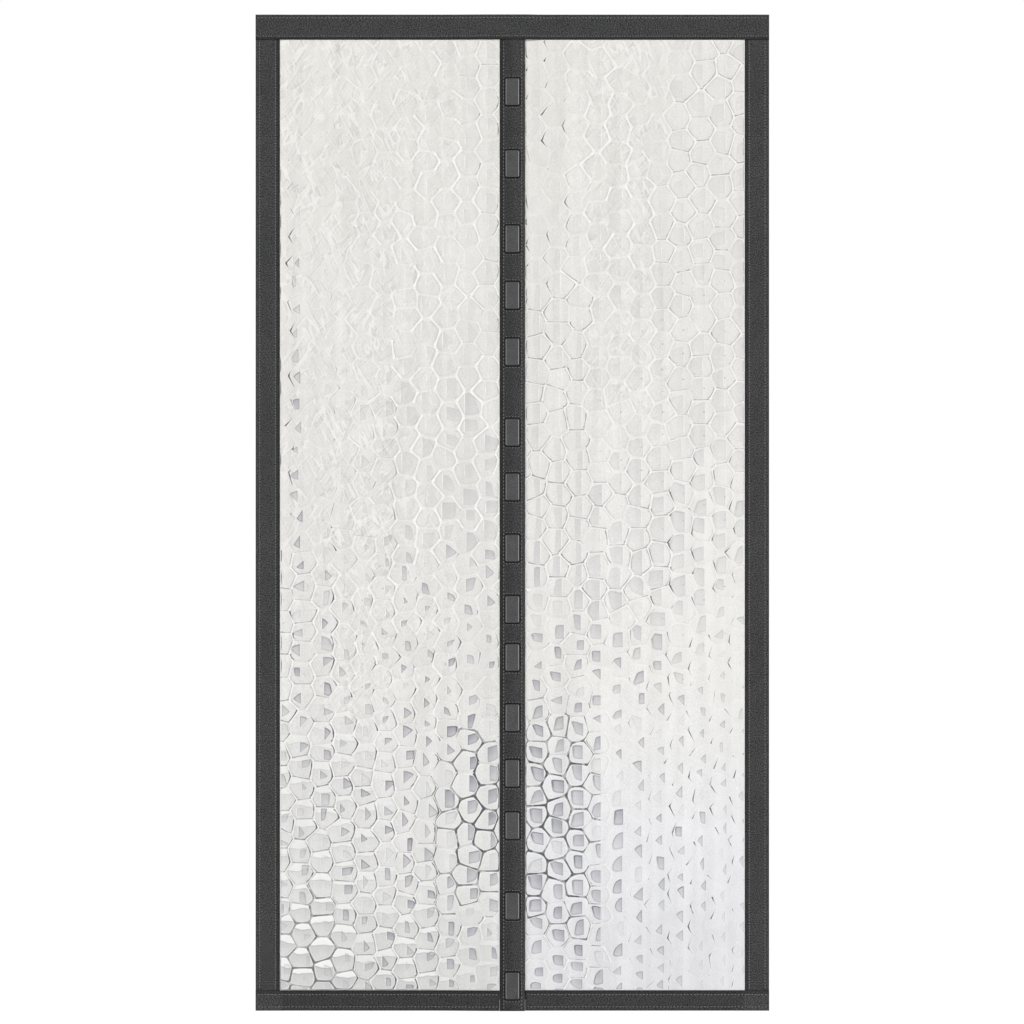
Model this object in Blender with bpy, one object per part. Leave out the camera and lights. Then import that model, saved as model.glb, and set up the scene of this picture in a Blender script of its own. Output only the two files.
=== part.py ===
"""Magnetic thermal door curtain. Two embossed film panels hang side by side from one folded header tape.

Folded tape binds every edge of the film, and two rows of flat magnets, sewn into the tapes that overlap
down the middle, pull the panels shut. Metres, +Z up. The curtain faces -Y, and the face of the door frame
that it is stuck to is the plane Y = 0. The origin is the middle of the header's fastening strip.
"""

import math
import random

import bmesh
import bpy
from mathutils import Vector
from mathutils.geometry import delaunay_2d_cdt

# Outline
CURTAIN_WIDTH = 1.100
CURTAIN_HEIGHT = 2.134
HEADER_HEIGHT = 0.054
SIDE_TAPE_WIDTH = 0.052
HEM_HEIGHT = 0.044

# Layers
PLY = 0.0006
FILM_WALL = 0.0008
LAYER_GAP = 0.0003
FOLD_RISE = 0.0025
FOLD_STEPS = 6

# Fastening strips on the back
STRIP_WIDTH = 0.020
STRIP_THICKNESS = 0.0015
STRIP_INSET = 0.006

# Magnets, and the pockets over them
MAGNET_WIDTH = 0.028
MAGNET_HEIGHT = 0.056
MAGNET_THICKNESS = 0.0020
MAGNET_EDGE = 0.0004
MAGNET_MARGIN = 0.003
POCKET_CLEARANCE = 0.0005
POCKET_SLOPE = 0.0015
FIRST_MAGNET_DROP = 0.166
LAST_MAGNET_RISE = 0.040
MAGNET_PITCHES = (
    0.154, 0.161, 0.121, 0.121, 0.172, 0.117, 0.131, 0.131, 0.103, 0.129, 0.119, 0.112, 0.172, 0.171,
)

# How far the film reaches into its tapes
FILM_TUCK = 0.010
EDGE_ROOM = 0.0015
HEM_TUCK = 0.020
LIFT_RUN = 0.150
HEADER_RUN = 0.040
SIDE_RUN = 0.012
RUN_LEAD = 0.001

# Weights in the hems
WEIGHT_LENGTH = 0.220
WEIGHT_HEIGHT = 0.014
WEIGHT_THICKNESS = 0.0015
WEIGHT_EDGE = 0.0003
WEIGHT_INSET = 0.010

# Embossed cells
CELL_COLUMN = 0.0445
CELL_ROW_TOP = 0.0535
CELL_ROW_BOTTOM = 0.0450
CELL_SHIFT = 0.22
CELL_RELIEF = 0.0015
CELL_LEAST_RADIUS = 0.012
EMBOSS_MARGIN = 0.001
WELD = 0.00001

# Places that follow from the sizes above
TOP = HEADER_HEIGHT / 2
BOTTOM = TOP - CURTAIN_HEIGHT
HALF_WIDTH = CURTAIN_WIDTH / 2
SIDE_EDGE = HALF_WIDTH - SIDE_TAPE_WIDTH
HALF_CENTRE = MAGNET_WIDTH / 2 + MAGNET_MARGIN + FILM_TUCK
FOLD_END = FOLD_RISE + EDGE_ROOM

# Depths forward of the door frame
WRAP_BACK = STRIP_THICKNESS + LAYER_GAP
TAPE_BACK = WRAP_BACK + PLY + LAYER_GAP
FILM_BACK = TAPE_BACK + PLY + LAYER_GAP
FILM_FRONT = FILM_BACK + FILM_WALL
TAPE_FRONT = FILM_FRONT + LAYER_GAP + PLY
FILM_LIFT = TAPE_FRONT + LAYER_GAP - TAPE_BACK
HEM_FRONT = max(TAPE_FRONT, WRAP_BACK + 2 * (PLY + LAYER_GAP) + WEIGHT_THICKNESS)
POCKET_RISE = max(0.0, MAGNET_THICKNESS - FILM_WALL)
WRAP_STEP = LAYER_GAP + PLY


def clear_scene():
    for old in list(bpy.data.objects):
        bpy.data.objects.remove(old)


def make_material(name, colour, roughness, metallic=0.0):
    material = bpy.data.materials.new(name)
    material.use_nodes = True
    shader = material.node_tree.nodes["Principled BSDF"]
    shader.inputs["Base Color"].default_value = (*colour, 1.0)
    shader.inputs["Roughness"].default_value = roughness
    shader.inputs["Metallic"].default_value = metallic
    return material


def add_object(name, mesh, material, parent, location=(0.0, 0.0, 0.0)):
    if not mesh.materials:
        mesh.materials.append(material)
    obj = bpy.data.objects.new(name, mesh)
    obj.location = location
    obj.parent = parent
    bpy.context.scene.collection.objects.link(obj)
    return obj


def mesh_from(bm, name, smooth=True):
    bmesh.ops.recalc_face_normals(bm, faces=bm.faces)
    mesh = bpy.data.meshes.new(name)
    bm.to_mesh(mesh)
    bm.free()
    if smooth:
        mesh.shade_smooth()
        mesh.set_sharp_from_angle(angle=math.radians(35))
    return mesh


def loft(name, rings):
    """A closed body through rings that all have the same number of points."""
    bm = bmesh.new()
    loops = [[bm.verts.new(point) for point in ring] for ring in rings]
    for near, far in zip(loops, loops[1:]):
        for k in range(len(near)):
            last = k - 1
            bm.faces.new((near[last], near[k], far[k], far[last]))
    bm.faces.new(loops[0])
    bm.faces.new(loops[-1])
    return mesh_from(bm, name)


def block(name, width, depth, height, edge=0.0):
    """A box with its middle at the origin. edge is the width of its bevel."""
    bm = bmesh.new()
    bmesh.ops.create_cube(bm, size=1.0)
    bmesh.ops.scale(bm, vec=(width, depth, height), verts=bm.verts)
    if edge:
        bmesh.ops.bevel(bm, geom=bm.edges[:], offset=edge, segments=1, affect="EDGES")
    return mesh_from(bm, name)


def fold_arc(tip, low, high):
    """Points round a fold, as (distance in from its outer edge, depth), from depth low to depth high."""
    middle = (low + high) / 2
    half = (high - low) / 2
    turns = [math.pi * k / FOLD_STEPS for k in range(FOLD_STEPS + 1)]
    return [(FOLD_RISE - (FOLD_RISE - tip) * math.sin(t), middle - half * math.cos(t)) for t in turns]


def folded_section(width, back, front, pocket=()):
    """Section of a tape folded in half, as (distance in from the fold, depth forward of the door frame).

    pocket holds more points of the front ply, each (distance in, rise), in order from the fold.
    """
    outer = [(a, front + rise) for a, rise in pocket]
    inner = [(a, front + rise - PLY) for a, rise in reversed(pocket)]
    return (
        [(width, back)]
        + fold_arc(0.0, back, front)
        + outer
        + [(width, front), (width, front - PLY)]
        + inner
        + fold_arc(PLY, back + PLY, front - PLY)[::-1]
        + [(width, back + PLY)]
    )


def film_lift(x):
    """How far the left film has come forward at x, on its way into the front centre tape."""
    return FILM_LIFT * min(1.0, max(0.0, 1.0 + (x + HALF_CENTRE) / LIFT_RUN))


def magnet_heights():
    """Heights of the magnets' middles, from the top down, for as long as the tape has room."""
    heights = [TOP - FIRST_MAGNET_DROP]
    step = 0
    while heights[-1] - MAGNET_PITCHES[step % len(MAGNET_PITCHES)] > BOTTOM + LAST_MAGNET_RISE:
        heights.append(heights[-1] - MAGNET_PITCHES[step % len(MAGNET_PITCHES)])
        step += 1
    return heights


def header_tape():
    """The header, folded over the tops of everything below it. Its back is flat, and its front ply rides over them."""
    over_film = TAPE_FRONT
    over_side = TAPE_FRONT + WRAP_STEP
    over_centre = TAPE_FRONT + FILM_LIFT + WRAP_STEP
    stations = (
        (-HALF_WIDTH, over_side),
        (-SIDE_EDGE + RUN_LEAD, over_side),
        (-SIDE_EDGE + SIDE_RUN, over_film),
        (-HALF_CENTRE - LIFT_RUN, over_film),
        (-HALF_CENTRE - RUN_LEAD, over_centre),
        (HALF_CENTRE + RUN_LEAD, over_centre),
        (HALF_CENTRE + HEADER_RUN, over_film),
        (SIDE_EDGE - SIDE_RUN, over_film),
        (SIDE_EDGE - RUN_LEAD, over_side),
        (HALF_WIDTH, over_side),
    )
    rings = []
    for x, front in stations:
        section = folded_section(HEADER_HEIGHT, WRAP_BACK, front)
        rings.append([(x, -depth, -down) for down, depth in section])
    return loft("header_tape", rings)


def bottom_hem(side):
    """A panel's bottom hem, folded up over the film and the foot of the side tape. side is -1 on the left."""
    over_side = HEM_FRONT + WRAP_STEP
    lift = FILM_LIFT if side < 0 else 0.0
    stations = (
        (HALF_WIDTH, WRAP_BACK, over_side),
        (SIDE_EDGE - RUN_LEAD, WRAP_BACK, over_side),
        (SIDE_EDGE - SIDE_RUN, WRAP_BACK, HEM_FRONT),
        (HALF_CENTRE + LIFT_RUN, WRAP_BACK, HEM_FRONT),
        (HALF_CENTRE + LAYER_GAP, TAPE_BACK + lift, HEM_FRONT + lift),
    )
    rings = []
    for x, back, front in stations:
        section = folded_section(HEM_HEIGHT, back, front)
        rings.append([(side * x, -depth, up) for up, depth in section])
    return loft("bottom_hem", rings)


def side_tape(side):
    """The tape folded round a panel's outer edge, from inside the hem to inside the header."""
    length = CURTAIN_HEIGHT - 2 * FOLD_END
    section = folded_section(SIDE_TAPE_WIDTH, TAPE_BACK, TAPE_FRONT)
    return loft("side_tape", [[(-side * a, -depth, z) for a, depth in section] for z in (0.0, length)])


def pocket_points(rise):
    """The front ply's points across a magnet, as (distance in from the fold, rise)."""
    half_top = MAGNET_WIDTH / 2 + POCKET_CLEARANCE
    half_foot = half_top + POCKET_SLOPE
    return (
        (HALF_CENTRE - half_foot, 0.0),
        (HALF_CENTRE - half_top, rise),
        (HALF_CENTRE + half_top, rise),
        (HALF_CENTRE + half_foot, 0.0),
    )


def centre_tape(in_front, heights):
    """A tape down the middle, folded round a row of magnets, which stand out on its outer side."""
    lift = FILM_LIFT if in_front else 0.0
    back = TAPE_BACK + lift
    front = TAPE_FRONT + lift
    half_top = MAGNET_HEIGHT / 2 + POCKET_CLEARANCE
    stations = [(BOTTOM, 0.0)]
    for z in reversed(heights):
        stations.append((z - half_top - POCKET_SLOPE, 0.0))
        stations.append((z - half_top, POCKET_RISE))
        stations.append((z + half_top, POCKET_RISE))
        stations.append((z + half_top + POCKET_SLOPE, 0.0))
    stations.append((TOP - FOLD_END, 0.0))
    rings = []
    for z, rise in stations:
        section = folded_section(2 * HALF_CENTRE, back, front, pocket_points(rise))
        if in_front:
            rings.append([(HALF_CENTRE - a, -depth, z) for a, depth in section])
        else:
            rings.append([(a - HALF_CENTRE, depth - back - front, z) for a, depth in section])
    return loft("centre_tape", rings)


def cell_sites(inner, outer, low, high, seed):
    """Middles of the cells: a loose honeycomb in columns out from the centre tape, with its rows closer low down."""
    chance = random.Random(seed)
    pitch = math.copysign(CELL_COLUMN, outer - inner)
    columns = range(-2, math.ceil(abs(outer - inner) / CELL_COLUMN) + 2)
    sites = []
    for column in columns:
        x = inner + (column + 0.5) * pitch
        z = low - 3 * CELL_ROW_BOTTOM
        if column % 2:
            z += CELL_ROW_BOTTOM / 2
        while z < high + 3 * CELL_ROW_TOP:
            share = min(1.0, max(0.0, (z - low) / (high - low)))
            row = CELL_ROW_BOTTOM + (CELL_ROW_TOP - CELL_ROW_BOTTOM) * share
            shift = [CELL_SHIFT * chance.uniform(-1, 1) for _ in range(2)]
            sites.append(Vector((x + shift[0] * CELL_COLUMN, z + shift[1] * row)))
            z += row
    return sites


def circumcentre(a, b, c):
    p = b - a
    q = c - a
    twice = 2 * (p.x * q.y - p.y * q.x)
    return a + Vector((
        (q.y * p.length_squared - p.y * q.length_squared) / twice,
        (p.x * q.length_squared - q.x * p.length_squared) / twice,
    ))


def clipped(polygon, axis, limit, sign):
    """The part of a polygon where sign * coordinate is no more than sign * limit."""
    kept = []
    for k, here in enumerate(polygon):
        before = polygon[k - 1]
        here_in = sign * (here[axis] - limit) <= 0
        before_in = sign * (before[axis] - limit) <= 0
        if here_in != before_in:
            cut = before + (here - before) * ((limit - before[axis]) / (here[axis] - before[axis]))
            cut[axis] = limit
            kept.append(cut)
        if here_in:
            kept.append(here.copy())
    return kept


def emboss_cells(inner, outer, low, high, seed):
    """Outlines of the cells inside a rectangle, as points (x, z). Each cell is what lies nearest to its middle."""
    left, right = sorted((inner, outer))
    sites, _, triangles, *_ = delaunay_2d_cdt(cell_sites(inner, outer, low, high, seed), [], [], 0, WELD)
    corners = [[] for _ in sites]
    for triangle in triangles:
        centre = circumcentre(*(sites[k] for k in triangle))
        for k in triangle:
            corners[k].append(centre)
    cells = []
    for site, outline in zip(sites, corners):
        near_x = left - CELL_COLUMN < site.x < right + CELL_COLUMN
        near_z = low - CELL_ROW_TOP < site.y < high + CELL_ROW_TOP
        if not (near_x and near_z):
            continue
        outline.sort(key=lambda corner: math.atan2(corner.y - site.y, corner.x - site.x))
        for axis, limit, sign in ((0, left, -1), (0, right, 1), (1, low, -1), (1, high, 1)):
            outline = clipped(outline, axis, limit, sign)
        if len(outline) > 2:
            cells.append(outline)
    return cells


def film_panel(side, seed):
    """One sheet of film: flat where the tapes cover it, and embossed with low pointed cells where it shows."""
    inner = side * (HALF_CENTRE + EMBOSS_MARGIN)
    outer = side * (SIDE_EDGE - EMBOSS_MARGIN)
    shown = sorted((inner, outer))
    sheet = sorted((side * (HALF_CENTRE - FILM_TUCK), side * (HALF_WIDTH - FOLD_END)))
    shown_low = BOTTOM + HEM_HEIGHT + EMBOSS_MARGIN
    shown_high = TOP - HEADER_HEIGHT - EMBOSS_MARGIN
    sheet_low = BOTTOM + HEM_HEIGHT - HEM_TUCK
    sheet_high = TOP - FOLD_END
    middle_x = (shown[0] + shown[1]) / 2
    middle_z = (shown_low + shown_high) / 2

    bm = bmesh.new()
    for outline in emboss_cells(inner, outer, shown_low, shown_high, seed):
        bm.faces.new([bm.verts.new((p.x, -FILM_FRONT, p.y)) for p in outline])
    bmesh.ops.remove_doubles(bm, verts=bm.verts, dist=WELD)
    cells = bm.faces[:]

    rim = [edge for edge in bm.edges if edge.is_boundary]
    margin = bmesh.ops.extrude_edge_only(bm, edges=rim)["geom"]
    for vert in (item for item in margin if isinstance(item, bmesh.types.BMVert)):
        if abs(vert.co.x - shown[0]) < WELD or abs(vert.co.x - shown[1]) < WELD:
            vert.co.x = sheet[0] if vert.co.x < middle_x else sheet[1]
        if abs(vert.co.z - shown_low) < WELD or abs(vert.co.z - shown_high) < WELD:
            vert.co.z = sheet_low if vert.co.z < middle_z else sheet_high

    back = bmesh.ops.duplicate(bm, geom=bm.verts[:] + bm.edges[:] + bm.faces[:])["geom"]
    back_verts = [item for item in back if isinstance(item, bmesh.types.BMVert)]
    bmesh.ops.translate(bm, vec=(0.0, FILM_WALL, 0.0), verts=back_verts)
    bmesh.ops.bridge_loops(bm, edges=[edge for edge in bm.edges if edge.is_boundary])

    for cell in cells:
        centre = cell.calc_center_median_weighted()
        radius = math.sqrt(cell.calc_area() / math.pi)
        peak = bmesh.ops.poke(bm, faces=[cell])["verts"][0]
        relief = CELL_RELIEF * min(1.0, radius / CELL_LEAST_RADIUS)
        peak.co = (centre.x, centre.y - relief, centre.z)
    if side < 0:
        for vert in bm.verts:
            vert.co.y -= film_lift(vert.co.x)
    return mesh_from(bm, "film_panel", smooth=False)


def add_films(parent, film):
    add_object("left_film", film_panel(-1, 3), film, parent)
    add_object("right_film", film_panel(1, 11), film, parent)


def add_tapes(parent, cloth, heights):
    add_object("header_tape", header_tape(), cloth, parent, (0.0, 0.0, TOP))
    for side, word in ((-1, "left"), (1, "right")):
        foot = (side * HALF_WIDTH, 0.0, BOTTOM + FOLD_END)
        add_object(f"{word}_side_tape", side_tape(side), cloth, parent, foot)
        add_object(f"{word}_bottom_hem", bottom_hem(side), cloth, parent, (0.0, 0.0, BOTTOM))
    add_object("front_centre_tape", centre_tape(True, heights), cloth, parent)
    add_object("rear_centre_tape", centre_tape(False, heights), cloth, parent)


def add_magnets(parent, ferrite, heights):
    mesh = block("magnet", MAGNET_WIDTH, MAGNET_THICKNESS, MAGNET_HEIGHT, MAGNET_EDGE)
    rear = TAPE_FRONT - PLY - LAYER_GAP - MAGNET_THICKNESS / 2
    front = TAPE_BACK + FILM_LIFT + PLY + LAYER_GAP + MAGNET_THICKNESS / 2
    for word, depth in (("front", front), ("rear", rear)):
        for number, z in enumerate(heights, start=1):
            add_object(f"{word}_magnet_{number:02d}", mesh, ferrite, parent, (0.0, -depth, z))


def add_weights(parent, steel):
    mesh = block("weight", WEIGHT_LENGTH, WEIGHT_THICKNESS, WEIGHT_HEIGHT, WEIGHT_EDGE)
    depth = WRAP_BACK + PLY + LAYER_GAP + WEIGHT_THICKNESS / 2
    height = BOTTOM + FOLD_RISE + LAYER_GAP + WEIGHT_HEIGHT / 2
    x = HALF_CENTRE + LIFT_RUN + WEIGHT_INSET + WEIGHT_LENGTH / 2
    for side, word in ((-1, "left"), (1, "right")):
        add_object(f"{word}_hem_weight", mesh, steel, parent, (side * x, -depth, height))


def add_strips(parent, loop):
    header = block("header_strip", CURTAIN_WIDTH - 2 * STRIP_INSET, STRIP_THICKNESS, STRIP_WIDTH)
    add_object("header_loop_strip", header, loop, parent, (0.0, -STRIP_THICKNESS / 2, 0.0))
    top = TOP - HEADER_HEIGHT - STRIP_INSET
    foot = BOTTOM + HEM_HEIGHT + STRIP_INSET
    mesh = block("side_strip", STRIP_WIDTH, STRIP_THICKNESS, top - foot)
    depth = TAPE_BACK - LAYER_GAP - STRIP_THICKNESS / 2
    x = HALF_WIDTH - SIDE_TAPE_WIDTH / 2
    add_object("left_loop_strip", mesh, loop, parent, (-x, -depth, (top + foot) / 2))
    add_object("right_loop_strip", mesh, loop, parent, (x, -depth, (top + foot) / 2))


def main():
    clear_scene()
    film = make_material("embossed_film", (0.78, 0.775, 0.755), 0.30)
    cloth = make_material("border_tape", (0.046, 0.046, 0.047), 0.85)
    ferrite = make_material("magnet_ferrite", (0.060, 0.058, 0.056), 0.55)
    steel = make_material("weight_steel", (0.46, 0.46, 0.47), 0.40, 1.0)
    loop = make_material("loop_strip", (0.030, 0.030, 0.031), 0.95)

    curtain = bpy.data.objects.new("curtain", None)
    bpy.context.scene.collection.objects.link(curtain)
    heights = magnet_heights()
    add_films(curtain, film)
    add_tapes(curtain, cloth, heights)
    add_magnets(curtain, ferrite, heights)
    add_weights(curtain, steel)
    add_strips(curtain, loop)


main()
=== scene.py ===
import math
import random

import bmesh
import bpy
import numpy as np
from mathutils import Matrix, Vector
from mathutils.geometry import delaunay_2d_cdt


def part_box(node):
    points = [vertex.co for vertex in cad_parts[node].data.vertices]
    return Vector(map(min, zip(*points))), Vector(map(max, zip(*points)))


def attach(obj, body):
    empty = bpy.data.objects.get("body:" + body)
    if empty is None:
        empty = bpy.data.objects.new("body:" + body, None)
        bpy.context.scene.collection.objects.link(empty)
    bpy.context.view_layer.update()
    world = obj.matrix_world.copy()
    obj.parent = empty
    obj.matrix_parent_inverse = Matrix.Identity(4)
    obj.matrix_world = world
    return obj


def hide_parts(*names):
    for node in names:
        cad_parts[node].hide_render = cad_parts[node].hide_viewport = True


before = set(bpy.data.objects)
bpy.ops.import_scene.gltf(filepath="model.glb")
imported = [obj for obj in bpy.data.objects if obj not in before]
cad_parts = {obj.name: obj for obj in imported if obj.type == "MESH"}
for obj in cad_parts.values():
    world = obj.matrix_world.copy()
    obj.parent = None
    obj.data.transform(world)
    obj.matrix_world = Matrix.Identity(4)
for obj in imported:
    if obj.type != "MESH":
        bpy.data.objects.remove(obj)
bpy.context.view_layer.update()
bpy.ops.object.select_all(action="DESELECT")
print("frame loaded:", len(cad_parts), "nodes")


# Places that the frame gives, as depths forward of the door frame and heights

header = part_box("header_tape")
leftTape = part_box("left_side_tape")
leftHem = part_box("left_bottom_hem")
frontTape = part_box("front_centre_tape")
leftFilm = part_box("left_film")
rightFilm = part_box("right_film")

halfWidth = header[1].x
curtainTop = header[1].z
headerFoot = header[0].z
curtainFoot = leftHem[0].z
hemTop = leftHem[1].z
sideEdge = -leftTape[1].x
halfCentre = frontTape[1].x
wrapBack = -header[1].y
tapeBack = -leftTape[1].y
tapeFront = -leftTape[0].y
filmLift = -frontTape[1].y - tapeBack
filmWall = 0.0008
plyThickness = 0.0006
layerGap = 0.0003
filmFront = tapeBack + plyThickness + layerGap + filmWall
wrapStep = plyThickness + layerGap

# Runs along which a wrapping tape climbs over what is under it, in metres
runs = {"lift": 0.150, "header": 0.040, "side": 0.012, "lead": 0.001}


def ease(value, start, end):
    share = np.clip((value - start) / (end - start), 0.0, 1.0)
    return share * share * (3 - 2 * share)


def easedAlong(places, heights, value):
    # smooth steps between the given places
    value = np.asarray(value, float)
    found = np.full(value.shape, float(heights[0]))
    for k in range(len(places) - 1):
        found += (heights[k + 1] - heights[k]) * ease(value, places[k], places[k + 1])
    return found


def bell(value, middle, reach):
    return np.exp(-(((value - middle) / reach) ** 2))


def ripple(along, across, seed):
    # a few long waves with their own phases, between -1 and 1
    chance = random.Random(seed)
    total = 0.0
    for length, size in ((0.41, 0.5), (0.173, 0.3), (0.067, 0.2)):
        turn = chance.uniform(0, 2 * math.pi)
        lean = chance.uniform(-2.0, 2.0)
        total = total + size * np.sin(2 * math.pi * (along + lean * across) / length + turn)
    return total


def applied(piece, kind, **values):
    # adds a modifier and applies it at once
    bpy.ops.object.select_all(action="DESELECT")
    piece.select_set(True)
    bpy.context.view_layer.objects.active = piece
    modifier = piece.modifiers.new(kind.lower(), kind)
    for name, value in values.items():
        setattr(modifier, name, value)
    bpy.ops.object.modifier_apply(modifier=modifier.name)


def placed(name, data):
    holder = bpy.data.objects.new(name, data)
    bpy.context.scene.collection.objects.link(holder)
    return holder


def meshObject(name, vertices, faces):
    mesh = bpy.data.meshes.new(name)
    mesh.from_pydata(vertices, [], faces)
    return placed(name, mesh)


def vertexPlaces(mesh):
    places = np.zeros(len(mesh.vertices) * 3)
    mesh.vertices.foreach_get("co", places)
    return places.reshape(-1, 3)


def dress(piece, material, slotName, *nodes):
    piece.data.materials.clear()
    piece.data.materials.append(material)
    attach(piece, "root")
    if nodes:
        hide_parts(*nodes)


# Shader helpers

class Tree:
    # short ways to add and join nodes in one node tree
    def __init__(self, nodeTree):
        self.tree = nodeTree

    def add(self, kind, **values):
        node = self.tree.nodes.new(kind)
        for name, value in values.items():
            setattr(node, name, value)
        return node

    def put(self, value, socket):
        if isinstance(value, bpy.types.NodeSocket):
            self.tree.links.new(value, socket)
        else:
            socket.default_value = value

    def math(self, operation, *values, clamp=False):
        node = self.add("ShaderNodeMath", operation=operation, use_clamp=clamp)
        for value, socket in zip(values, node.inputs):
            self.put(value, socket)
        return node.outputs[0]

    def product(self, first, *others):
        for value in others:
            first = self.math("MULTIPLY", first, value)
        return first

    def most(self, first, *others):
        for value in others:
            first = self.math("MAXIMUM", first, value)
        return first

    def minus(self, first, second):
        return self.math("SUBTRACT", first, second)

    def blend(self, value, factor, added):
        # value times factor, plus added
        return self.math("MULTIPLY_ADD", value, factor, added)

    def step(self, value, start, end, low=0.0, high=1.0):
        # smooth step from low at start to high at end
        node = self.add("ShaderNodeMapRange", interpolation_type="SMOOTHSTEP")
        names = ("Value", "From Min", "From Max", "To Min", "To Max")
        for given, name in zip((value, start, end, low, high), names):
            self.put(given, node.inputs[name])
        return node.outputs["Result"]

    def fall(self, value, start, end):
        return self.step(value, start, end, 1.0, 0.0)

    def mix(self, share, first, second):
        node = self.add("ShaderNodeMix", data_type="RGBA")
        self.put(share, node.inputs[0])
        self.put(first, node.inputs[6])
        self.put(second, node.inputs[7])
        return node.outputs[2]

    def scaled(self, colour, factor):
        # a colour made lighter or darker by a factor
        node = self.add("ShaderNodeVectorMath", operation="SCALE")
        self.put(colour, node.inputs[0])
        self.put(factor, node.inputs["Scale"])
        return node.outputs[0]

    def noise(self, place, scale, detail=2.0, roughness=0.5):
        node = self.add("ShaderNodeTexNoise")
        self.put(place, node.inputs["Vector"])
        node.inputs["Scale"].default_value = scale
        node.inputs["Detail"].default_value = detail
        node.inputs["Roughness"].default_value = roughness
        return node.outputs["Fac"]

    def swing(self, place, scale, detail, roughness=0.5):
        # noise about 0
        return self.minus(self.noise(place, scale, detail, roughness), 0.5)

    def places(self, uvMap=None):
        # places on a UV map, or in the object
        if uvMap:
            return self.add("ShaderNodeUVMap", uv_map=uvMap).outputs[0]
        return self.add("ShaderNodeTexCoord").outputs["Object"]

    def parts(self, vector):
        node = self.add("ShaderNodeSeparateXYZ")
        self.put(vector, node.inputs[0])
        return node.outputs[0], node.outputs[1], node.outputs[2]


def newGroup(name, inputs, outputs):
    group = bpy.data.node_groups.new(name, "ShaderNodeTree")
    types = {"number": "NodeSocketFloat", "colour": "NodeSocketColor", "vector": "NodeSocketVector"}
    for way, sockets in (("INPUT", inputs), ("OUTPUT", outputs)):
        for kind, socketNames in sockets.items():
            for socketName in socketNames:
                group.interface.new_socket(socketName, in_out=way, socket_type=types[kind])
    t = Tree(group)
    return group, t, t.add("NodeGroupInput").outputs, t.add("NodeGroupOutput").inputs


def useGroup(t, group, **values):
    node = t.add("ShaderNodeGroup", node_tree=group)
    for name, value in values.items():
        t.put(value, node.inputs[name])
    return node.outputs


def newMaterial(name, **settings):
    material = bpy.data.materials.new(name)
    material.use_nodes = True
    shader = material.node_tree.nodes["Principled BSDF"]
    for socketName, value in settings.items():
        shader.inputs[socketName.replace("_", " ")].default_value = value
    return material, Tree(material.node_tree), shader.inputs


def bumped(t, height, distance):
    node = t.add("ShaderNodeBump")
    t.put(height, node.inputs["Height"])
    node.inputs["Distance"].default_value = distance
    return node.outputs["Normal"]


def joinSurface(t, shader, done, bump):
    t.put(done["Colour"], shader["Base Color"])
    t.put(done["Roughness"], shader["Roughness"])
    t.put(bumped(t, done["Height"], bump), shader["Normal"])


def weaveGroup():
    # plain weave: threads pass over and under, with a loose grain and slow blotches of tone
    group, t, given, made = newGroup(
        "plainWeave",
        {"vector": ("Place",), "number": ("Thread", "Grain")},
        {"number": ("Height", "Tone")},
    )
    across, along, _ = t.parts(given["Place"])
    turns = t.math("DIVIDE", math.pi, given["Thread"])
    warp = t.math("SINE", t.product(across, turns))
    weft = t.math("SINE", t.product(along, turns))
    knots = t.product(warp, weft)
    fuzz = t.noise(given["Place"], 900.0, 2.0)
    height = t.blend(knots, 0.5, 0.5)
    t.put(t.blend(fuzz, 0.5, height), made["Height"])
    grain = t.minus(t.step(t.noise(given["Place"], 420.0, 2.0, 0.7), 0.34, 0.66), 0.5)
    blotch = t.swing(given["Place"], 34.0, 3.0, 0.6)
    spread = t.blend(blotch, 0.30, grain)
    tone = t.blend(spread, given["Grain"], 1.0)
    t.put(t.blend(knots, 0.10, tone), made["Tone"])
    return group


plainWeave = weaveGroup()


# Embossed film

filmCells = {
    "column": 0.0445,
    "rowTop": 0.0535,
    "rowBottom": 0.0450,
    "shift": 0.22,
    "margin": 0.001,
    "weld": 0.00001,
    "relief": 0.0015,
    "leastRadius": 0.012,
    "edgeSteps": 3,
    "insets": (0.0, 0.0013, 0.0036, 0.0085),
    "rises": (0.0, 0.42, 0.84, 0.97),
    "corners": (0.0, 0.05, 0.10, 0.13),
    "wave": 0.0010,
}
# what one unit of the place and rim maps stands for, in metres and millimetres
placeSpan = 0.060
placeMillimetres = 60.0
rimSpan = 0.010
paneCorners = 8
# the plain upright band on the right panel
bandEdges = (0.1895, 0.2135)
bandHeights = (-2.060, -1.300)

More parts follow.
